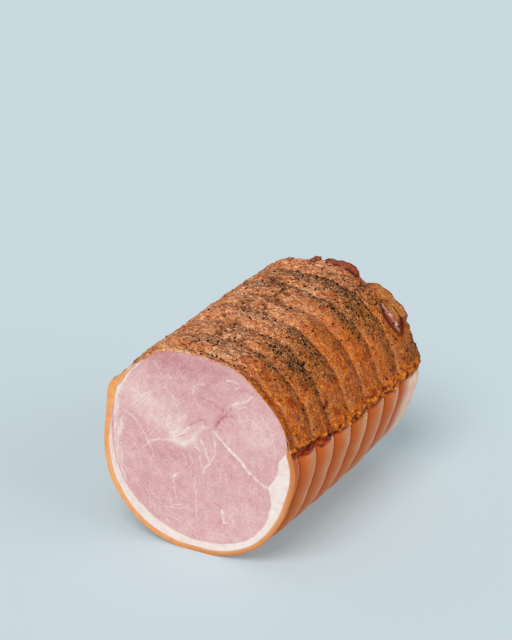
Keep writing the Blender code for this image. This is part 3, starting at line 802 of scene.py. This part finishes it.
# The torn edge of the crust wanders by about a millimetre
ragged = rough(place_rows / 5, 0, 12) * 1.5 + rough(place_rows / 2, 0, 4) * 0.9
ragged = ragged * (0.4 + 0.6 * smooth(place_rows, 25, 25))
ragged_left = rough(place_rows / 5, 3, 22) * 0.8 + rough(place_rows / 1.7, 5, 14) * 0.45
right = right + np.degrees((ragged - 0.3) / AROUND)
left = left + np.degrees((ragged_left + 0.3) / AROUND)
angle = right + (left - right) * share
flat = np.radians(angle) * AROUND
beyond = -np.radians(np.minimum(angle - right, left - angle)) * AROUND
side = 1 - lost_rows / ROUNDING_RADIUS
crust_relief, crust_fields = crust_looks(place_rows, angle, beyond, side)
# The border tucks down onto the rind and, at the back, into the far end
crust_relief = crust_relief - 1 * (1 - smooth(-beyond / 0.9)) - 1.4 * smooth((0.95 - dome_rows) / 0.05)
outer = form(place_rows, angle, lost_rows, dome_rows, crust_relief)
outer[0, :, 1] = CUT_Y
# The cut shows it thickest just left of the top
cut_width = CRUST_CUT - 0.5 + 1.1 * smooth(angle, 84, 16) * (1 - smooth(angle, 108, 12))
cut_width = cut_width * (1 + 0.7 * rough(flat / 5, 0.4, 9) + 0.4 * rough(flat / 1.8, 0.4, 29))
inner = towards_axis(outer, np.where(place_rows < 0.1, cut_width, CRUST_THICKNESS))
crust = closed_skin("crust", outer, inner, crust_fields, [browned_crust, cut_crust], front=1)
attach(crust, "root")
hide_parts("ham")


# Far end
# Where the net was gathered and clipped. The crust runs on over it in puckers, tucked under the
# edges of the rind and of the crust from the top.

END_CELLS = 180
FAR_END_START = 0.5
RIM_SHARE = 0.86
END_TUCK = 3


def disc_grid(cells):
    """Share of the radius and angle of a square grid of points pulled out into a disc."""
    u, v = np.meshgrid(*[np.linspace(-1, 1, cells + 1)] * 2, indexing="ij")
    x, y = u * np.sqrt(1 - v ** 2 / 2), v * np.sqrt(1 - u ** 2 / 2)
    return np.minimum(1, np.hypot(x, y)), np.degrees(np.arctan2(y, x))


out, angle = disc_grid(END_CELLS)
lean = FAR_END_START + (1 - FAR_END_START) * limited((1 - out) / (1 - RIM_SHARE))
lost = ROUNDING_RADIUS * (1 - np.cos(lean * math.pi / 2))
place_end = SIDE_END + ROUNDING_LENGTH * np.sin(lean * math.pi / 2)
dome = limited(out / RIM_SHARE)
right, left = eased(RIGHT_EDGE, place_end), eased(LEFT_EDGE, place_end)
on_crust = (np.mod(angle, 360) > right) & (np.mod(angle, 360) < left)
edge_gap = np.minimum(np.abs(turn_from(angle, right)), np.abs(turn_from(angle, left)))
blend = np.where(on_crust, 0.5 + 0.5 * smooth(edge_gap / 6), 0.5 - 0.5 * smooth(edge_gap / 6))
under_crust = smooth(dome, 0.84, 0.08)
under_rind = 1 - smooth((lost / ROUNDING_RADIUS - 0.7) / 0.16)
tucked = blend * under_crust + (1 - blend) * under_rind
end_place = place_end + (1 - dome) * 60
nothing = np.zeros_like(angle)
end_relief, end_fields = crust_looks(end_place, angle + 200, nothing - 60, nothing)
end_pitted = skin_noise(end_place, angle, 9, 9, 51)
end_fields["peppered"] = np.clip(0.3 + 1.1 * end_pitted, 0, 0.9)
end_fields["glazed"] = np.clip(0.2 - 1.2 * end_pitted, 0, 0.8)
end_fields["pale"] = np.clip(1.2 * skin_noise(end_place, angle, 14, 14, 71), 0, 0.6)
end_fields["upper"] = np.clip(0.25 + 0.8 * skin_noise(end_place, angle, 20, 20, 81), 0, 0.6)
end_fields["pocket"] = end_fields["core"] = end_fields["crack"] = nothing
wrinkle = 1 - 1.8 * np.abs(rough(out * 9, np.radians(angle) * 2.2, 4))
end_relief = (0.5 * end_relief + 0.9 * wrinkle * out) * (1 - tucked) - END_TUCK * tucked
outer = form(place_end, angle, lost, dome, end_relief)
inner = towards_axis(outer, np.full_like(angle, CRUST_THICKNESS))
far_end = closed_skin("far_end", outer, inner, end_fields, [browned_crust])
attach(far_end, "root")
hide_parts("ham")


# Meat and fat
# The cured muscles of the leg, pressed together and cooked through, with the layer of fat that lies
# under the skin. The knife left them as one flat, moist face.

FACE_CELLS = 248
FACE_INSET = 0.8
# Inner side of the fat, as (across, up) from the ham's axis
FAT_SIDE = (
    (70, 26), (65, 17), (58.8, 8), (58.2, 0), (55, -6), (51.6, -11.5), (53, -16), (53.6, -22), (52, -31),
    (47, -41), (38, -50.5), (25, -56.8), (5, -60.2), (-10, -59), (-25, -54), (-38, -46), (-51.4, -32.5),
    (-58, -18), (-60.6, -5), (-61, 8), (-59.4, 20), (-54, 32.2), (-50, 39.5), (-44.4, 48), (-36, 56.2),
    (-29, 66),
)
# Seams of connective tissue between the muscles, as (width, strength, path)
SEAMS = (
    (0.55, 1, ((13.7, 18.6), (17, 15.6), (22, 10.9), (26.5, 7.2))),
    (0.9, 1, ((24, 9.4), (31.3, 3.7), (35, 0), (39.1, -4.1))),
    (0.6, 1, ((38, -3.2), (45.6, -8.9), (49.5, -11), (53.5, -11.4))),
    (0.5, 0.7, ((-50.9, 19.4), (-44.4, 16.3), (-39.4, 10.9), (-35.9, 5.9), (-33.7, 0.9), (-32.3, -2))),
    (0.7, 0.55, ((-33.7, 0.9), (-28, 3.7), (-20.9, 5.9), (-15.1, 5.9))),
    (0.5, 0.5, ((-33.7, 0.4), (-35.6, -1.6), (-38.5, -3.4))),
    (0.5, 0.45, ((-31.6, -2), (-30.1, -7.7))),
    (0.7, 0.75, ((26.5, 38.6), (30.6, 41.6), (36.3, 43.7), (40.6, 48))),
    (0.5, 0.6, ((22.7, 55.1), (27, 55.6), (32, 54.2))),
    (0.45, 0.55, ((29.1, 50.9), (33.4, 52.3))),
    (0.45, 0.45, ((1.3, 48), (4, 49.2), (7.7, 48.7))),
    (0.6, 0.35, ((-0.1, 47.3), (-0.4, 41), (1.2, 36), (5, 33))),
    (0.55, 0.5, ((-20.9, 41.6), (-17, 38), (-13.7, 35.1), (-10, 33.5))),
    (0.5, 0.4, ((-30.1, 58.7), (-24.4, 53))),
    (0.6, 0.4, ((27.7, 38), (36.3, 40.1), (46.3, 36.6), (53.4, 28), (56.3, 18), (56.6, 10))),
    (0.6, 0.25, ((32, 30), (40, 32), (47.5, 27), (51, 19), (50.5, 11))),
    # Thin leaves of fat along the left side
    (0.6, 0.9, ((-52.4, 38), (-56.6, 27), (-58.4, 15), (-58.8, 4), (-58.2, -8), (-55.6, -20), (-51, -30))),
    (0.5, 0.7, ((-55, 26), (-56.6, 16), (-56.8, 2), (-56.2, -10), (-53.8, -20))),
    (0.4, 0.5, ((-48, 46), (-51.4, 37.6), (-53.6, 30))),
    (0.4, 0.5, ((-54.4, -4), (-54, -14), (-51.2, -24))),
    (0.5, 0.7, ((0.6, 9), (0.8, 5.4), (3.4, 3))),
    (0.5, 0.8, ((4.2, 11), (7.7, 6.6), (8.4, 0.9), (11.3, -4.1), (8, -6.3), (6.3, -11.3))),
    (0.45, 0.6, ((3.4, -0.8), (4.9, -7.7), (7.2, -9.4))),
    (0.5, 0.65, ((13.8, 14), (14.8, 8), (14.1, 3), (12, -1.3))),
    (0.5, 0.6, ((-8.6, -1.4), (-6.9, -4.4), (-6.4, -8.6))),
    (0.45, 0.5, ((-3.7, -1.4), (-1.6, -5.4), (-2.4, -7.7))),
    (0.55, 0.45, ((-0.2, -15.6), (0.3, -30), (0.9, -46.3))),
    (0.8, 1, ((-17, -20.2), (-15.4, -18.9), (-14.4, -17.6))),
    (0.45, 0.7, ((-18.4, -18.4), (-16.4, -19.6), (-14, -16.8), (-12.6, -16))),
    (0.45, 0.55, ((-16.3, -20.6), (-15.3, -25), (-14.8, -30), (-14.3, -33.6))),
    (0.7, 0.9, ((19.2, -34.6), (19.8, -39), (20.4, -43.4))),
    (0.4, 0.6, ((20.4, -43.4), (23, -42.4))),
    (0.45, 0.5, ((27, -40.2), (27.6, -43))),
    (0.4, 0.5, ((-40.3, -9.6), (-39.8, -14.6))),
    (0.4, 0.5, ((-35.4, -19.9), (-32, -19.6), (-29.2, -20.8))),
    (0.5, 0.6, ((-43.6, -26), (-42.8, -28.6))),
    (0.4, 0.7, ((-24.8, -27.4), (-24.2, -28.2))),
    (0.4, 0.45, ((-33.7, -30.6), (-30, -36.4), (-25.9, -40.8), (-20.9, -42))),
    (0.4, 0.5, ((-20.9, -42), (-14, -41.4), (-8, -39.1), (-3, -39.4))),
    (0.4, 0.45, ((-18, -40.2), (-10, -37.8), (-4.6, -38.4))),
    (0.4, 0.45, ((-22.3, -43.4), (-16, -45.8), (-9.4, -47.7))),
    (0.4, 0.4, ((-20.9, -46.3), (-16, -48.8), (-10.9, -49.9))),
    (0.5, 0.6, ((-22, -51.4), (-19.6, -52.4))),
    (0.4, 0.4, ((-36, -33), (-33.4, -39), (-29, -44))),
    (0.4, 0.35, ((-53.6, -18), (-49.4, -25.4), (-45.6, -28.8))),
    (0.6, 0.35, ((22, -8), (22.6, -16))),
)
# Splits and darker red tissue, laid out alike
RED_TISSUE = (
    (1, 1, ((15.6, 23), (17.6, 27.2), (19.1, 28.7), (22, 30.6), (24, 30.2), (26, 31.9))),
    (0.5, 0.9, ((19.4, 31), (20.6, 33.6), (19.6, 36.4))),
    (0.5, 0.9, ((24, 30.2), (24.8, 27.8), (26.8, 26.6))),
    (0.4, 0.8, ((17.2, 29.6), (19.4, 28.8), (21, 26.8))),
    (0.4, 0.7, ((26, 31.9), (28.4, 30.4))),
    (0.4, 0.6, ((22.6, 33.4), (24.6, 34.4), (25.4, 37.6))),
    (0.6, 0.8, ((22, 31.6), (25.6, 35.1), (26.6, 38.6))),
    (0.5, 0.6, ((9.1, 38.7), (13, 37.9), (15.6, 36.6), (18.4, 34.6), (20.6, 31.6))),
    (0.6, 0.7, ((-13, 10.9), (-6.6, 16.6), (-0.1, 21.6), (6.3, 25.1), (8, 21.6))),
    (0.5, 0.55, ((-12, 9.5), (-7.4, 11.6), (-3.4, 15.6))),
    (0.6, 0.55, ((-40.6, 12.6), (-37.4, 9.6), (-34.8, 4.6))),
    (0.5, 0.35, ((-7, 0.4), (-7.6, -6), (-6.2, -11))),
    (0.5, 0.3, ((36, 50.4), (42, 49.2))),
    (0.5, 0.35, ((24, 53.6), (31, 52.2), (34, 50))),
    (0.4, 0.3, ((-19.6, -44.6), (-13, -47.4))),
    (0.8, 0.35, ((9.4, 17.6), (14, 20.6), (15.4, 23))),
)
# Creamy gristle at the middle, and pockets of fat, laid out alike
CREAM = (
    (2.2, 1, ((-15.6, 8.6), (-12.4, 5.8), (-8.4, 5.6), (-4.2, 7.4), (-0.4, 11.4))),
    (1.2, 0.9, ((-18, 11.4), (-13.6, 12.4), (-8.6, 14.4), (-4, 17.4))),
    (0.7, 0.9, ((-15.4, 9.6), (-10, 11.4), (-4.4, 15))),
    (1.6, 0.6, ((-2, 11), (3, 16.4), (7, 20.4))),
    (0.8, 0.6, ((-12, 11.6), (-7.4, 14.6), (-4, 18.4))),
    (1.5, 0.5, ((-10.6, 22), (-6.6, 25.4))),
    (1.6, 1, ((-53.2, 11.6), (-54, 7), (-55.4, 2.4))),
    (1, 0.6, ((-56.8, 20), (-56.6, 26))),
)
# Tone of the muscles, as (across, up, half width, half height, slant in degrees, tone): pale is above 0
MUSCLES = (
    (-30, 26, 26, 11, -32, 0.6), (-12, 14, 14, 7, -20, 0.5), (-44, 34, 10, 9, -30, 0.4),
    (-22, 62, 22, 8, -8, -0.85), (12, 60, 22, 9, 4, -0.5), (-4, 46, 14, 12, -40, -0.15),
    (14, 38, 10, 12, 10, -0.25), (42, 22, 13, 14, 0, 0.5), (40, -2, 9, 6, -38, -0.35),
    (-42, 4, 9, 9, 0, -0.2), (-22, -4, 10, 8, 20, -0.3), (-6, -4, 9, 7, 0, -0.3),
    (38, -36, 15, 12, -30, 0.3), (-36, -30, 9, 12, 20, -0.25), (22, -22, 14, 14, 0, 0),
    (44, 46, 10, 8, -45, -0.1), (-48, -8, 7, 14, 5, 0.15), (8, -54, 30, 6, 0, 0.25),
    (-36, 46, 8, 8, -40, 0.1),
)
MEAT_DEPTH = 164
MEAT_EDGE_DEPTH = 14
MARBLING_COUNT = 120
MARBLING_SEED = 5


def strokes(paths, x, y, breakup):
    """Soft lines along paths, broken up unevenly."""
    field = np.zeros_like(x)
    for width, strength, path in paths:
        gap = line_distance(x, y, path)
        near = gap < 4 * width
        field[near] = np.maximum(field[near], strength * hump(gap[near], width) * breakup[near])
    return field


out, angle = disc_grid(FACE_CELLS)
# Radius of the cut, just inside the rind and the crust
rim_angle = np.arange(0, 360, 1)
rim = form(0, rim_angle, 0, 1, -0.25)
rim_radius = np.hypot(rim[:, 0] - AXIS_X, rim[:, 2] - AXIS_HEIGHT)
edge_radius = np.interp(angle, rim_angle, rim_radius, period=360) - FACE_INSET
edge_radius = edge_radius - 0.9 * hump(turn_from(angle, 12), 6)
across = out * edge_radius * np.cos(np.radians(angle))
up = out * edge_radius * np.sin(np.radians(angle))
wander = 0.9 * rough(across / 5, up / 5, 1) + 0.35 * rough(across / 1.8, up / 1.8, 4)
waver = 0.9 * rough(across / 5, up / 5, 7) + 0.35 * rough(across / 1.8, up / 1.8, 9)
breakup = np.clip(0.8 + 0.75 * rough(across / 2.6, up / 2.6, 15), 0.1, 1.2)
x, y = across + 0.7 * wander, up + 0.7 * waver
radius = np.hypot(across, up)
fat_turn = [math.degrees(math.atan2(b, a)) % 360 for a, b in FAT_SIDE]
fat_radius = [math.hypot(a, b) for a, b in FAT_SIDE]
fat_radius[0] = fat_radius[-1] = 90
order = np.argsort(fat_turn)
fat_side = np.interp(
    np.mod(angle, 360), np.array(fat_turn)[order], np.array(fat_radius)[order], period=360
)
into_fat = radius - fat_side + 0.5 * waver
fat = smooth(into_fat, -0.25, 0.9)
# Two leaves of meat run through the fat at the left
layered = hump(np.mod(angle, 360) - 190, 42) * fat * np.maximum(
    hump(into_fat - 1.4 + 0.5 * wander, 0.4), 0.8 * hump(into_fat - 3 + 0.6 * wander, 0.35)
)
fat = fat * (1 - 0.7 * layered * limited(breakup))
tone = 0
for a, b, wide, tall, slant, amount in MUSCLES:
    lie = math.radians(slant)
    x_part = ((across - a) * math.cos(lie) + (up - b) * math.sin(lie)) / wide
    y_part = ((up - b) * math.cos(lie) - (across - a) * math.sin(lie)) / tall
    tone = tone + amount * np.exp(-x_part ** 2 - y_part ** 2)
# The long muscle at the upper left is cut along its fibres, which run down to the right
fibres = rough((across + up) / 9, (across - up) / 1.4, 3)
fibre_zone = smooth((up - 0.55 * across - 8) / 14) * smooth((6 - across) / 16)
tone = tone - 0.12 + 0.03 * smooth(up, -4, 20) + 0.5 * fibres * fibre_zone
tone = tone + 0.3 * rough(across / 7, up / 7, 30)
veins = strokes(SEAMS, x, y, breakup)
chance = random.Random(MARBLING_SEED)
marbling = []
for _ in range(MARBLING_COUNT):
    turn, reach = chance.uniform(0, 2 * math.pi), 56 * math.sqrt(chance.random())
    a, b = reach * math.cos(turn), reach * math.sin(turn)
    lie = math.radians(-42 if b > 0.5 * a + 8 and a < 4 else chance.gauss(-70, 32))
    half = chance.uniform(0.8, 2.6)
    bend = chance.uniform(-0.6, 0.6)
    path = [
        (a - half * math.cos(lie), b - half * math.sin(lie)),
        (a + bend * math.sin(lie), b - bend * math.cos(lie)),
        (a + half * math.cos(lie), b + half * math.sin(lie)),
    ]
    marbling.append((chance.uniform(0.28, 0.42), chance.uniform(0.12, 0.38), path))
veins = np.maximum(veins, strokes(marbling, x, y, breakup)) * (1 - fat)
red = strokes(RED_TISSUE, x, y, breakup) * (1 - fat)
cream = strokes(CREAM, x, y, np.clip(0.9 + 0.5 * breakup * waver, 0.3, 1.2)) * (1 - 0.7 * red)

# Cooked cured pork: pink, fine grained and moist, so light spreads under its surface. Its grain is
# 1.6 mm and its clouding 5 mm across. The ends of its fibres are drawn 0.9 mm across where the real
# ones are finer.
sliced_meat, tree, shader, place, toned, fatty, veined, reddened, creamy = new_material(
    "sliced cooked ham", "tone fat vein red cream"
)
fine, soft, ends = [
    node(tree, "TexNoise", {"Vector": place, "Scale": 1 / size, "Detail": detail, "Roughness": grit})
    for size, detail, grit in ((1.6, 4, 0.6), (5, 3, 0.5), (0.9, 1, 0.5))
]
shade = toned
for pattern, most in ((soft, 0.2), (fine, 0.12), (ends, 0.4)):
    amount = node(tree, "MapRange", {0: pattern, 1: 0.3, 2: 0.7, 3: -most, 4: most})
    shade = node(tree, "Math", {0: shade, 1: amount}, operation="ADD")
shade = node(tree, "MapRange", {0: shade, 1: -1.2, 2: 1.2, 3: 0, 4: 1})
flesh = node(tree, "ValToRGB", {0: shade}, (
    (0, "#c8868a"), (0.3, "#d6a0a2"), (0.5, "#e0b0b1"), (0.72, "#e7c1c0"), (1, "#f0d8d3"),
))
tallow = node(tree, "ValToRGB", {0: soft}, ((0.3, "#ecd6cf"), (0.5, "#f1e1dc"), (0.7, "#f4e8e4")))
feed(tree, shader, {
    "Base Color": coated(tree, flesh, (
        ("#bc5c6a", 0.75, reddened), ("#fbeeea", 0.95, veined), ("#f3e2d8", 0.85, creamy),
        (tallow, 1, fatty),
    )),
    "Roughness": node(tree, "MapRange", {0: fine, 1: 0.3, 2: 0.7, 3: 0.42, 4: 0.58}),
    "Subsurface Weight": 0.2,
    "Subsurface Radius": (1, 0.45, 0.35),
    "Subsurface Scale": 0.0015,
    "Normal": node(tree, "Bump", {"Height": fine, "Strength": 0.5, "Distance": 0.0003}),
})

sunk = 0.1 + 0.45 * red - 0.12 * fat - 0.08 * veins + 0.12 * rough(across / 14, up / 14, 2)
outer = np.stack([AXIS_X + across, CUT_Y + 0.12 + np.maximum(0, sunk), AXIS_HEIGHT + up], axis=-1)
depth = MEAT_EDGE_DEPTH + (MEAT_DEPTH - MEAT_EDGE_DEPTH) * smooth((1 - out) / 0.18)
shrink = (edge_radius - 7) / edge_radius
inner = np.stack([AXIS_X + across * shrink, CUT_Y + depth, AXIS_HEIGHT + up * shrink], axis=-1)
meat = closed_skin(
    "meat_and_fat",
    outer,
    inner,
    {"tone": tone, "fat": fat, "vein": veins, "red": red, "cream": cream},
    [sliced_meat],
)
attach(meat, "root")
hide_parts("ham")


# Torn edge
# Scraps of crust along the far rim that the net pulled loose as it was peeled off. They stand up
# from the rounded end, thin and dark at their free edges.

# Each scrap, as (first and last degrees, place of its root, lift at the root and at the free edge,
# thickness, free edge as (share round, place), how dark, how red, how gold)
SCRAPS = (
    ((66.5, 90), 175, (-1.5, -1.1), 2.2,
     ((0, 180), (0.12, 184), (0.3, 186.5), (0.55, 187.5), (0.8, 187), (0.95, 185), (1, 182)), 0.5, 1, 0),
    ((31, 60), 171, (-1.4, -0.9), 1.8,
     ((0, 183), (0.05, 187), (0.25, 187.5), (0.55, 186), (0.8, 183.5), (1, 178)), 0.45, 0.15, 0.8),
    ((91.2, 98.5), 176.5, (-1, -0.2), 2.6,
     ((0, 181), (0.3, 185.5), (0.7, 186), (1, 181)), 0.45, 0.9, 0),
    ((121, 136), 176.5, (-1, 0.2), 2.2,
     ((0, 181), (0.3, 186), (0.7, 186.5), (1, 181)), 0.5, 0.6, 0.2),
)
SCRAP_ROWS = 24
SCRAP_COLUMNS = 60

# Torn crust: dark red and shiny where it dried in a curl, tan where fat set on it, with 1.5 mm grains.
torn_crust, tree, shader, place, darker, redder, golden = new_material(
    "torn browned crust", "dark red gold"
)
grains = node(tree, "TexNoise", {"Vector": place, "Scale": 1 / 1.5, "Detail": 4, "Roughness": 0.65})
tan = node(tree, "ValToRGB", {0: grains}, ((0.38, "#6a2c0c"), (0.5, "#a4581e"), (0.6, "#dca268")))
feed(tree, shader, {
    "Base Color": coated(tree, tan, (
        ("#c67c2a", 0.6, golden), ("#8c1a04", 0.85, redder), ("#3f150a", 1, darker),
    )),
    "Roughness": 0.38,
    "Specular IOR Level": 0.18,
    "Subsurface Weight": 0.06,
    "Subsurface Radius": (1, 0.4, 0.2),
    "Subsurface Scale": 0.0015,
    "Normal": node(tree, "Bump", {"Height": grains, "Strength": 0.5, "Distance": 0.0004}),
})

scraps = []
for number, (degrees, root, lift, thick, outline, darkness, redness, gold) in enumerate(SCRAPS):
    u = np.linspace(0, 1, SCRAP_COLUMNS + 1)[None, :]
    v = np.linspace(0, 1, SCRAP_ROWS + 1)[:, None]
    free = eased(outline, u) + 0.8 * rough(u * 9, number * 3, 0.5)
    angle = degrees[0] + (degrees[1] - degrees[0]) * u + 0.6 * rough(v * 3, u * 3, number * 5) * v
    spot = root + (free - root) * v
    # The scrap leaves the rounded end and carries on level with the side
    level = form(np.minimum(spot, SIDE_END - 0.5), angle, 0, 1, 0)
    rise = lift[0] + (lift[1] - lift[0]) * v ** 1.5
    rise = rise + 0.7 * rough(u * 6, v * 3, number * 7 + 1) * (0.3 + v)
    turn = np.radians(angle)
    radius = np.hypot(level[..., 0] - AXIS_X, level[..., 2] - AXIS_HEIGHT) + rise
    ends = smooth(np.minimum(u, 1 - u) / 0.14)
    half = thick / 2 * (0.35 + 0.65 * ends) * (1 - 0.62 * v ** 3)
    outer, inner = [
        np.stack(np.broadcast_arrays(
            AXIS_X + reach * np.cos(turn), CUT_Y + spot - back, AXIS_HEIGHT + reach * np.sin(turn)
        ), axis=-1)
        for reach, back in ((radius + half, 0), (radius - half, 0.4 * v))
    ]
    # The free edge and the ends are dark, and the root is darkened by the scrap's redness, a painted shade
    # where the scrap leaves the crust
    rim = np.maximum(smooth(v, 0.86, 0.14), redness * (1 - smooth(v, 0.12, 0.16)))
    rim = np.maximum(rim * np.ones_like(angle), 0.8 * (1 - smooth(ends, 0.3, 0.7)))
    mottle = 0.5 + 0.9 * rough(u * 8, v * 4, number * 11 + 3)
    mottle = mottle + 0.4 * rough(u * 26, v * 12, number * 3 + 8)
    fields = {
        "dark": np.clip(darkness * (1.7 * rim + 0.35 * mottle), 0, 0.95),
        "red": limited(redness * (0.5 + 0.8 * mottle)),
        "gold": limited(gold * (0.4 + 0.8 * mottle)),
    }
    scraps.append(closed_skin(f"scrap_{number}", outer, inner, fields, [torn_crust], step=2))
with bpy.context.temp_override(active_object=scraps[0], selected_editable_objects=scraps):
    bpy.ops.object.join()
torn_edge = scraps[0]
torn_edge.name = "torn_edge"
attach(torn_edge, "root")
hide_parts("ham")


# Pepper
# Black peppercorns cracked in a mill, pressed into the crust before it went in the oven. Most of
# the pieces are 0.4 to 0.8 mm across, and a few reach 2.2 mm.

GRAIN_TRIES = 26000
GRAIN_SEED = 11
# Sizes of the pieces, as (share up to this size, smallest and largest radius)
GRAIN_SIZES = ((0.6, 0.22, 0.38), (0.9, 0.38, 0.6), (1, 0.6, 0.95))

# Cracked peppercorns: nearly black and matt, with a few pale bits of the white inside.
cracked_pepper, tree, shader, place, husk = new_material("cracked black pepper", "husk")
feed(tree, shader, {
    "Base Color": node(tree, "ValToRGB", {0: husk}, (
        (0, "#07080c"), (0.7, "#101116"), (0.86, "#2a1e18"), (0.96, "#443a32"), (1, "#8a7960"),
    )),
    "Roughness": 0.6,
    "Specular IOR Level": 0.15,
})

chance = random.Random(GRAIN_SEED)
tries = np.array([
    [chance.uniform(1, 189), chance.uniform(8, 140), chance.random()] for _ in range(GRAIN_TRIES)
])
spot, angle = tries[:, 0], tries[:, 1]
likely = patches(PEPPERED, spot, angle) * 0.3 + 0.05 + 0.06 * smooth(angle, 36, 20)
# It lies thicker in the hollow before each ring, and hardly at all on wet glaze or at the edges
likely = likely * (0.55 + 0.6 * ring_phase(spot)) * (1 - 0.75 * limited(patches(GLAZED, spot, angle)))
likely = likely * smooth((angle - eased(RIGHT_EDGE, spot) - 2) / 6)
likely = likely * (1 - 0.85 * smooth(angle, 86, 25))
clump = skin_noise(spot, angle, 5, 5, 90)
kept = tries[:, 2] < likely * (0.9 + 0.8 * clump)
spot, angle = spot[kept], angle[kept]
past = limited((spot - SIDE_END) / ROUNDING_LENGTH)
lost = ROUNDING_RADIUS * (1 - np.sqrt(1 - past ** 2))
beyond = -np.radians(np.minimum(angle - eased(RIGHT_EDGE, spot), eased(LEFT_EDGE, spot) - angle)) * AROUND
seat_relief, _ = crust_looks(spot, angle, beyond, 1 - lost / ROUNDING_RADIUS)
seats = form(spot, angle, lost, 1, seat_relief)
crumbs = []
for level in (1, 2):
    template = bmesh.new()
    bmesh.ops.create_icosphere(template, subdivisions=level, radius=1)
    corners = np.array([vertex.co[:] for vertex in template.verts])
    crumbs.append((corners, np.array([[vertex.index for vertex in face.verts] for face in template.faces])))
    template.free()
points, faces, husks, used = [], [], [], 0
for seat, turn in zip(seats, np.radians(angle)):
    kind = chance.random()
    size = chance.uniform(*next(limits for share, *limits in GRAIN_SIZES if kind < share))
    corners, sides = crumbs[0 if size < 0.55 else 1]
    shape = np.array([chance.uniform(0.75, 1.25), chance.uniform(0.7, 1.1), chance.uniform(0.5, 0.85)]) * size
    tumble = Matrix.Rotation(chance.uniform(0, 6.3), 3, "X") @ Matrix.Rotation(chance.uniform(0, 6.3), 3, "Z")
    crumb = corners * np.array([[chance.uniform(0.8, 1.2)] for _ in corners]) * shape
    outward = np.array([math.cos(turn), 0, math.sin(turn)])
    points.append(crumb @ np.array(tumble) + seat + outward * size * 0.25)
    faces.append(sides + used)
    used += len(corners)
    husks += [chance.random()] * len(corners)
data = bpy.data.meshes.new("pepper")
data.from_pydata((np.concatenate(points) * 0.001).tolist(), [], np.concatenate(faces).tolist())
data.materials.append(cracked_pepper)
data.attributes.new("husk", "FLOAT", "POINT").data.foreach_set("value", np.array(husks, np.float32))
pepper = placed("pepper", data)
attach(pepper, "root")
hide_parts("ham")


# Studio
# The ham lies on pale blue paper, seen a little from above and from the right. One large soft light
# stands in front and above, a weaker one at the right, and soft light fills in from all round.

# In metres
FLOOR_HALF = 6
FLOOR_DROP = 0.0001
CAMERA_PLACE = (0.53937, -1.030556, 0.595964)
CAMERA_FORWARD = (-0.4367, 0.8173, -0.3758)
CAMERA_LENS = 107.62

# Pale blue paper: matt and even. It glows a little, as the light of a soft studio would make it.
table_paper, tree, shader, place = new_material("pale blue paper")
feed(tree, shader, {
    "Base Color": "#a9b6bd", "Emission Color": "#c6dce5", "Emission Strength": 0.27,
    "Roughness": 0.9, "Specular IOR Level": 0.2,
})
data = bpy.data.meshes.new("table")
corners = [(a * FLOOR_HALF, b * FLOOR_HALF, -FLOOR_DROP) for a, b in ((-1, -1), (1, -1), (1, 1), (-1, 1))]
data.from_pydata(corners, [], [(0, 1, 2, 3)])
data.materials.append(table_paper)
table = placed("table", data)

world = bpy.data.worlds.new("soft studio")
world.use_nodes = True
feed(world.node_tree, world.node_tree.nodes["Background"], {"Color": "#eef3f6", "Strength": 0.4})
bpy.context.scene.world = world


def soft_light(name, direction, strength, width, colour):
    """A broad light from far away: strength is its power a square metre and width its angle in degrees."""
    data = bpy.data.lights.new(name, "SUN")
    data.energy = strength
    data.angle = math.radians(width)
    data.color = linear(colour)[:3]
    placed(name, data).rotation_euler = Vector(direction).to_track_quat("Z", "Y").to_euler()


soft_light("key", (0.06, -0.62, 0.78), 2.5, 36, "#fff9f2")
soft_light("right", (0.85, -0.02, 0.36), 0.95, 50, "#fffaf4")

lens = bpy.data.cameras.new("camera")
lens.sensor_fit = "VERTICAL"
lens.sensor_height = 36
lens.lens = CAMERA_LENS
lens.clip_start = 0.01
camera = placed("camera", lens)
camera.location = CAMERA_PLACE
camera.rotation_euler = Vector(CAMERA_FORWARD).to_track_quat("-Z", "Y").to_euler()
bpy.context.scene.camera = camera
bpy.context.scene.view_settings.view_transform = "Standard"
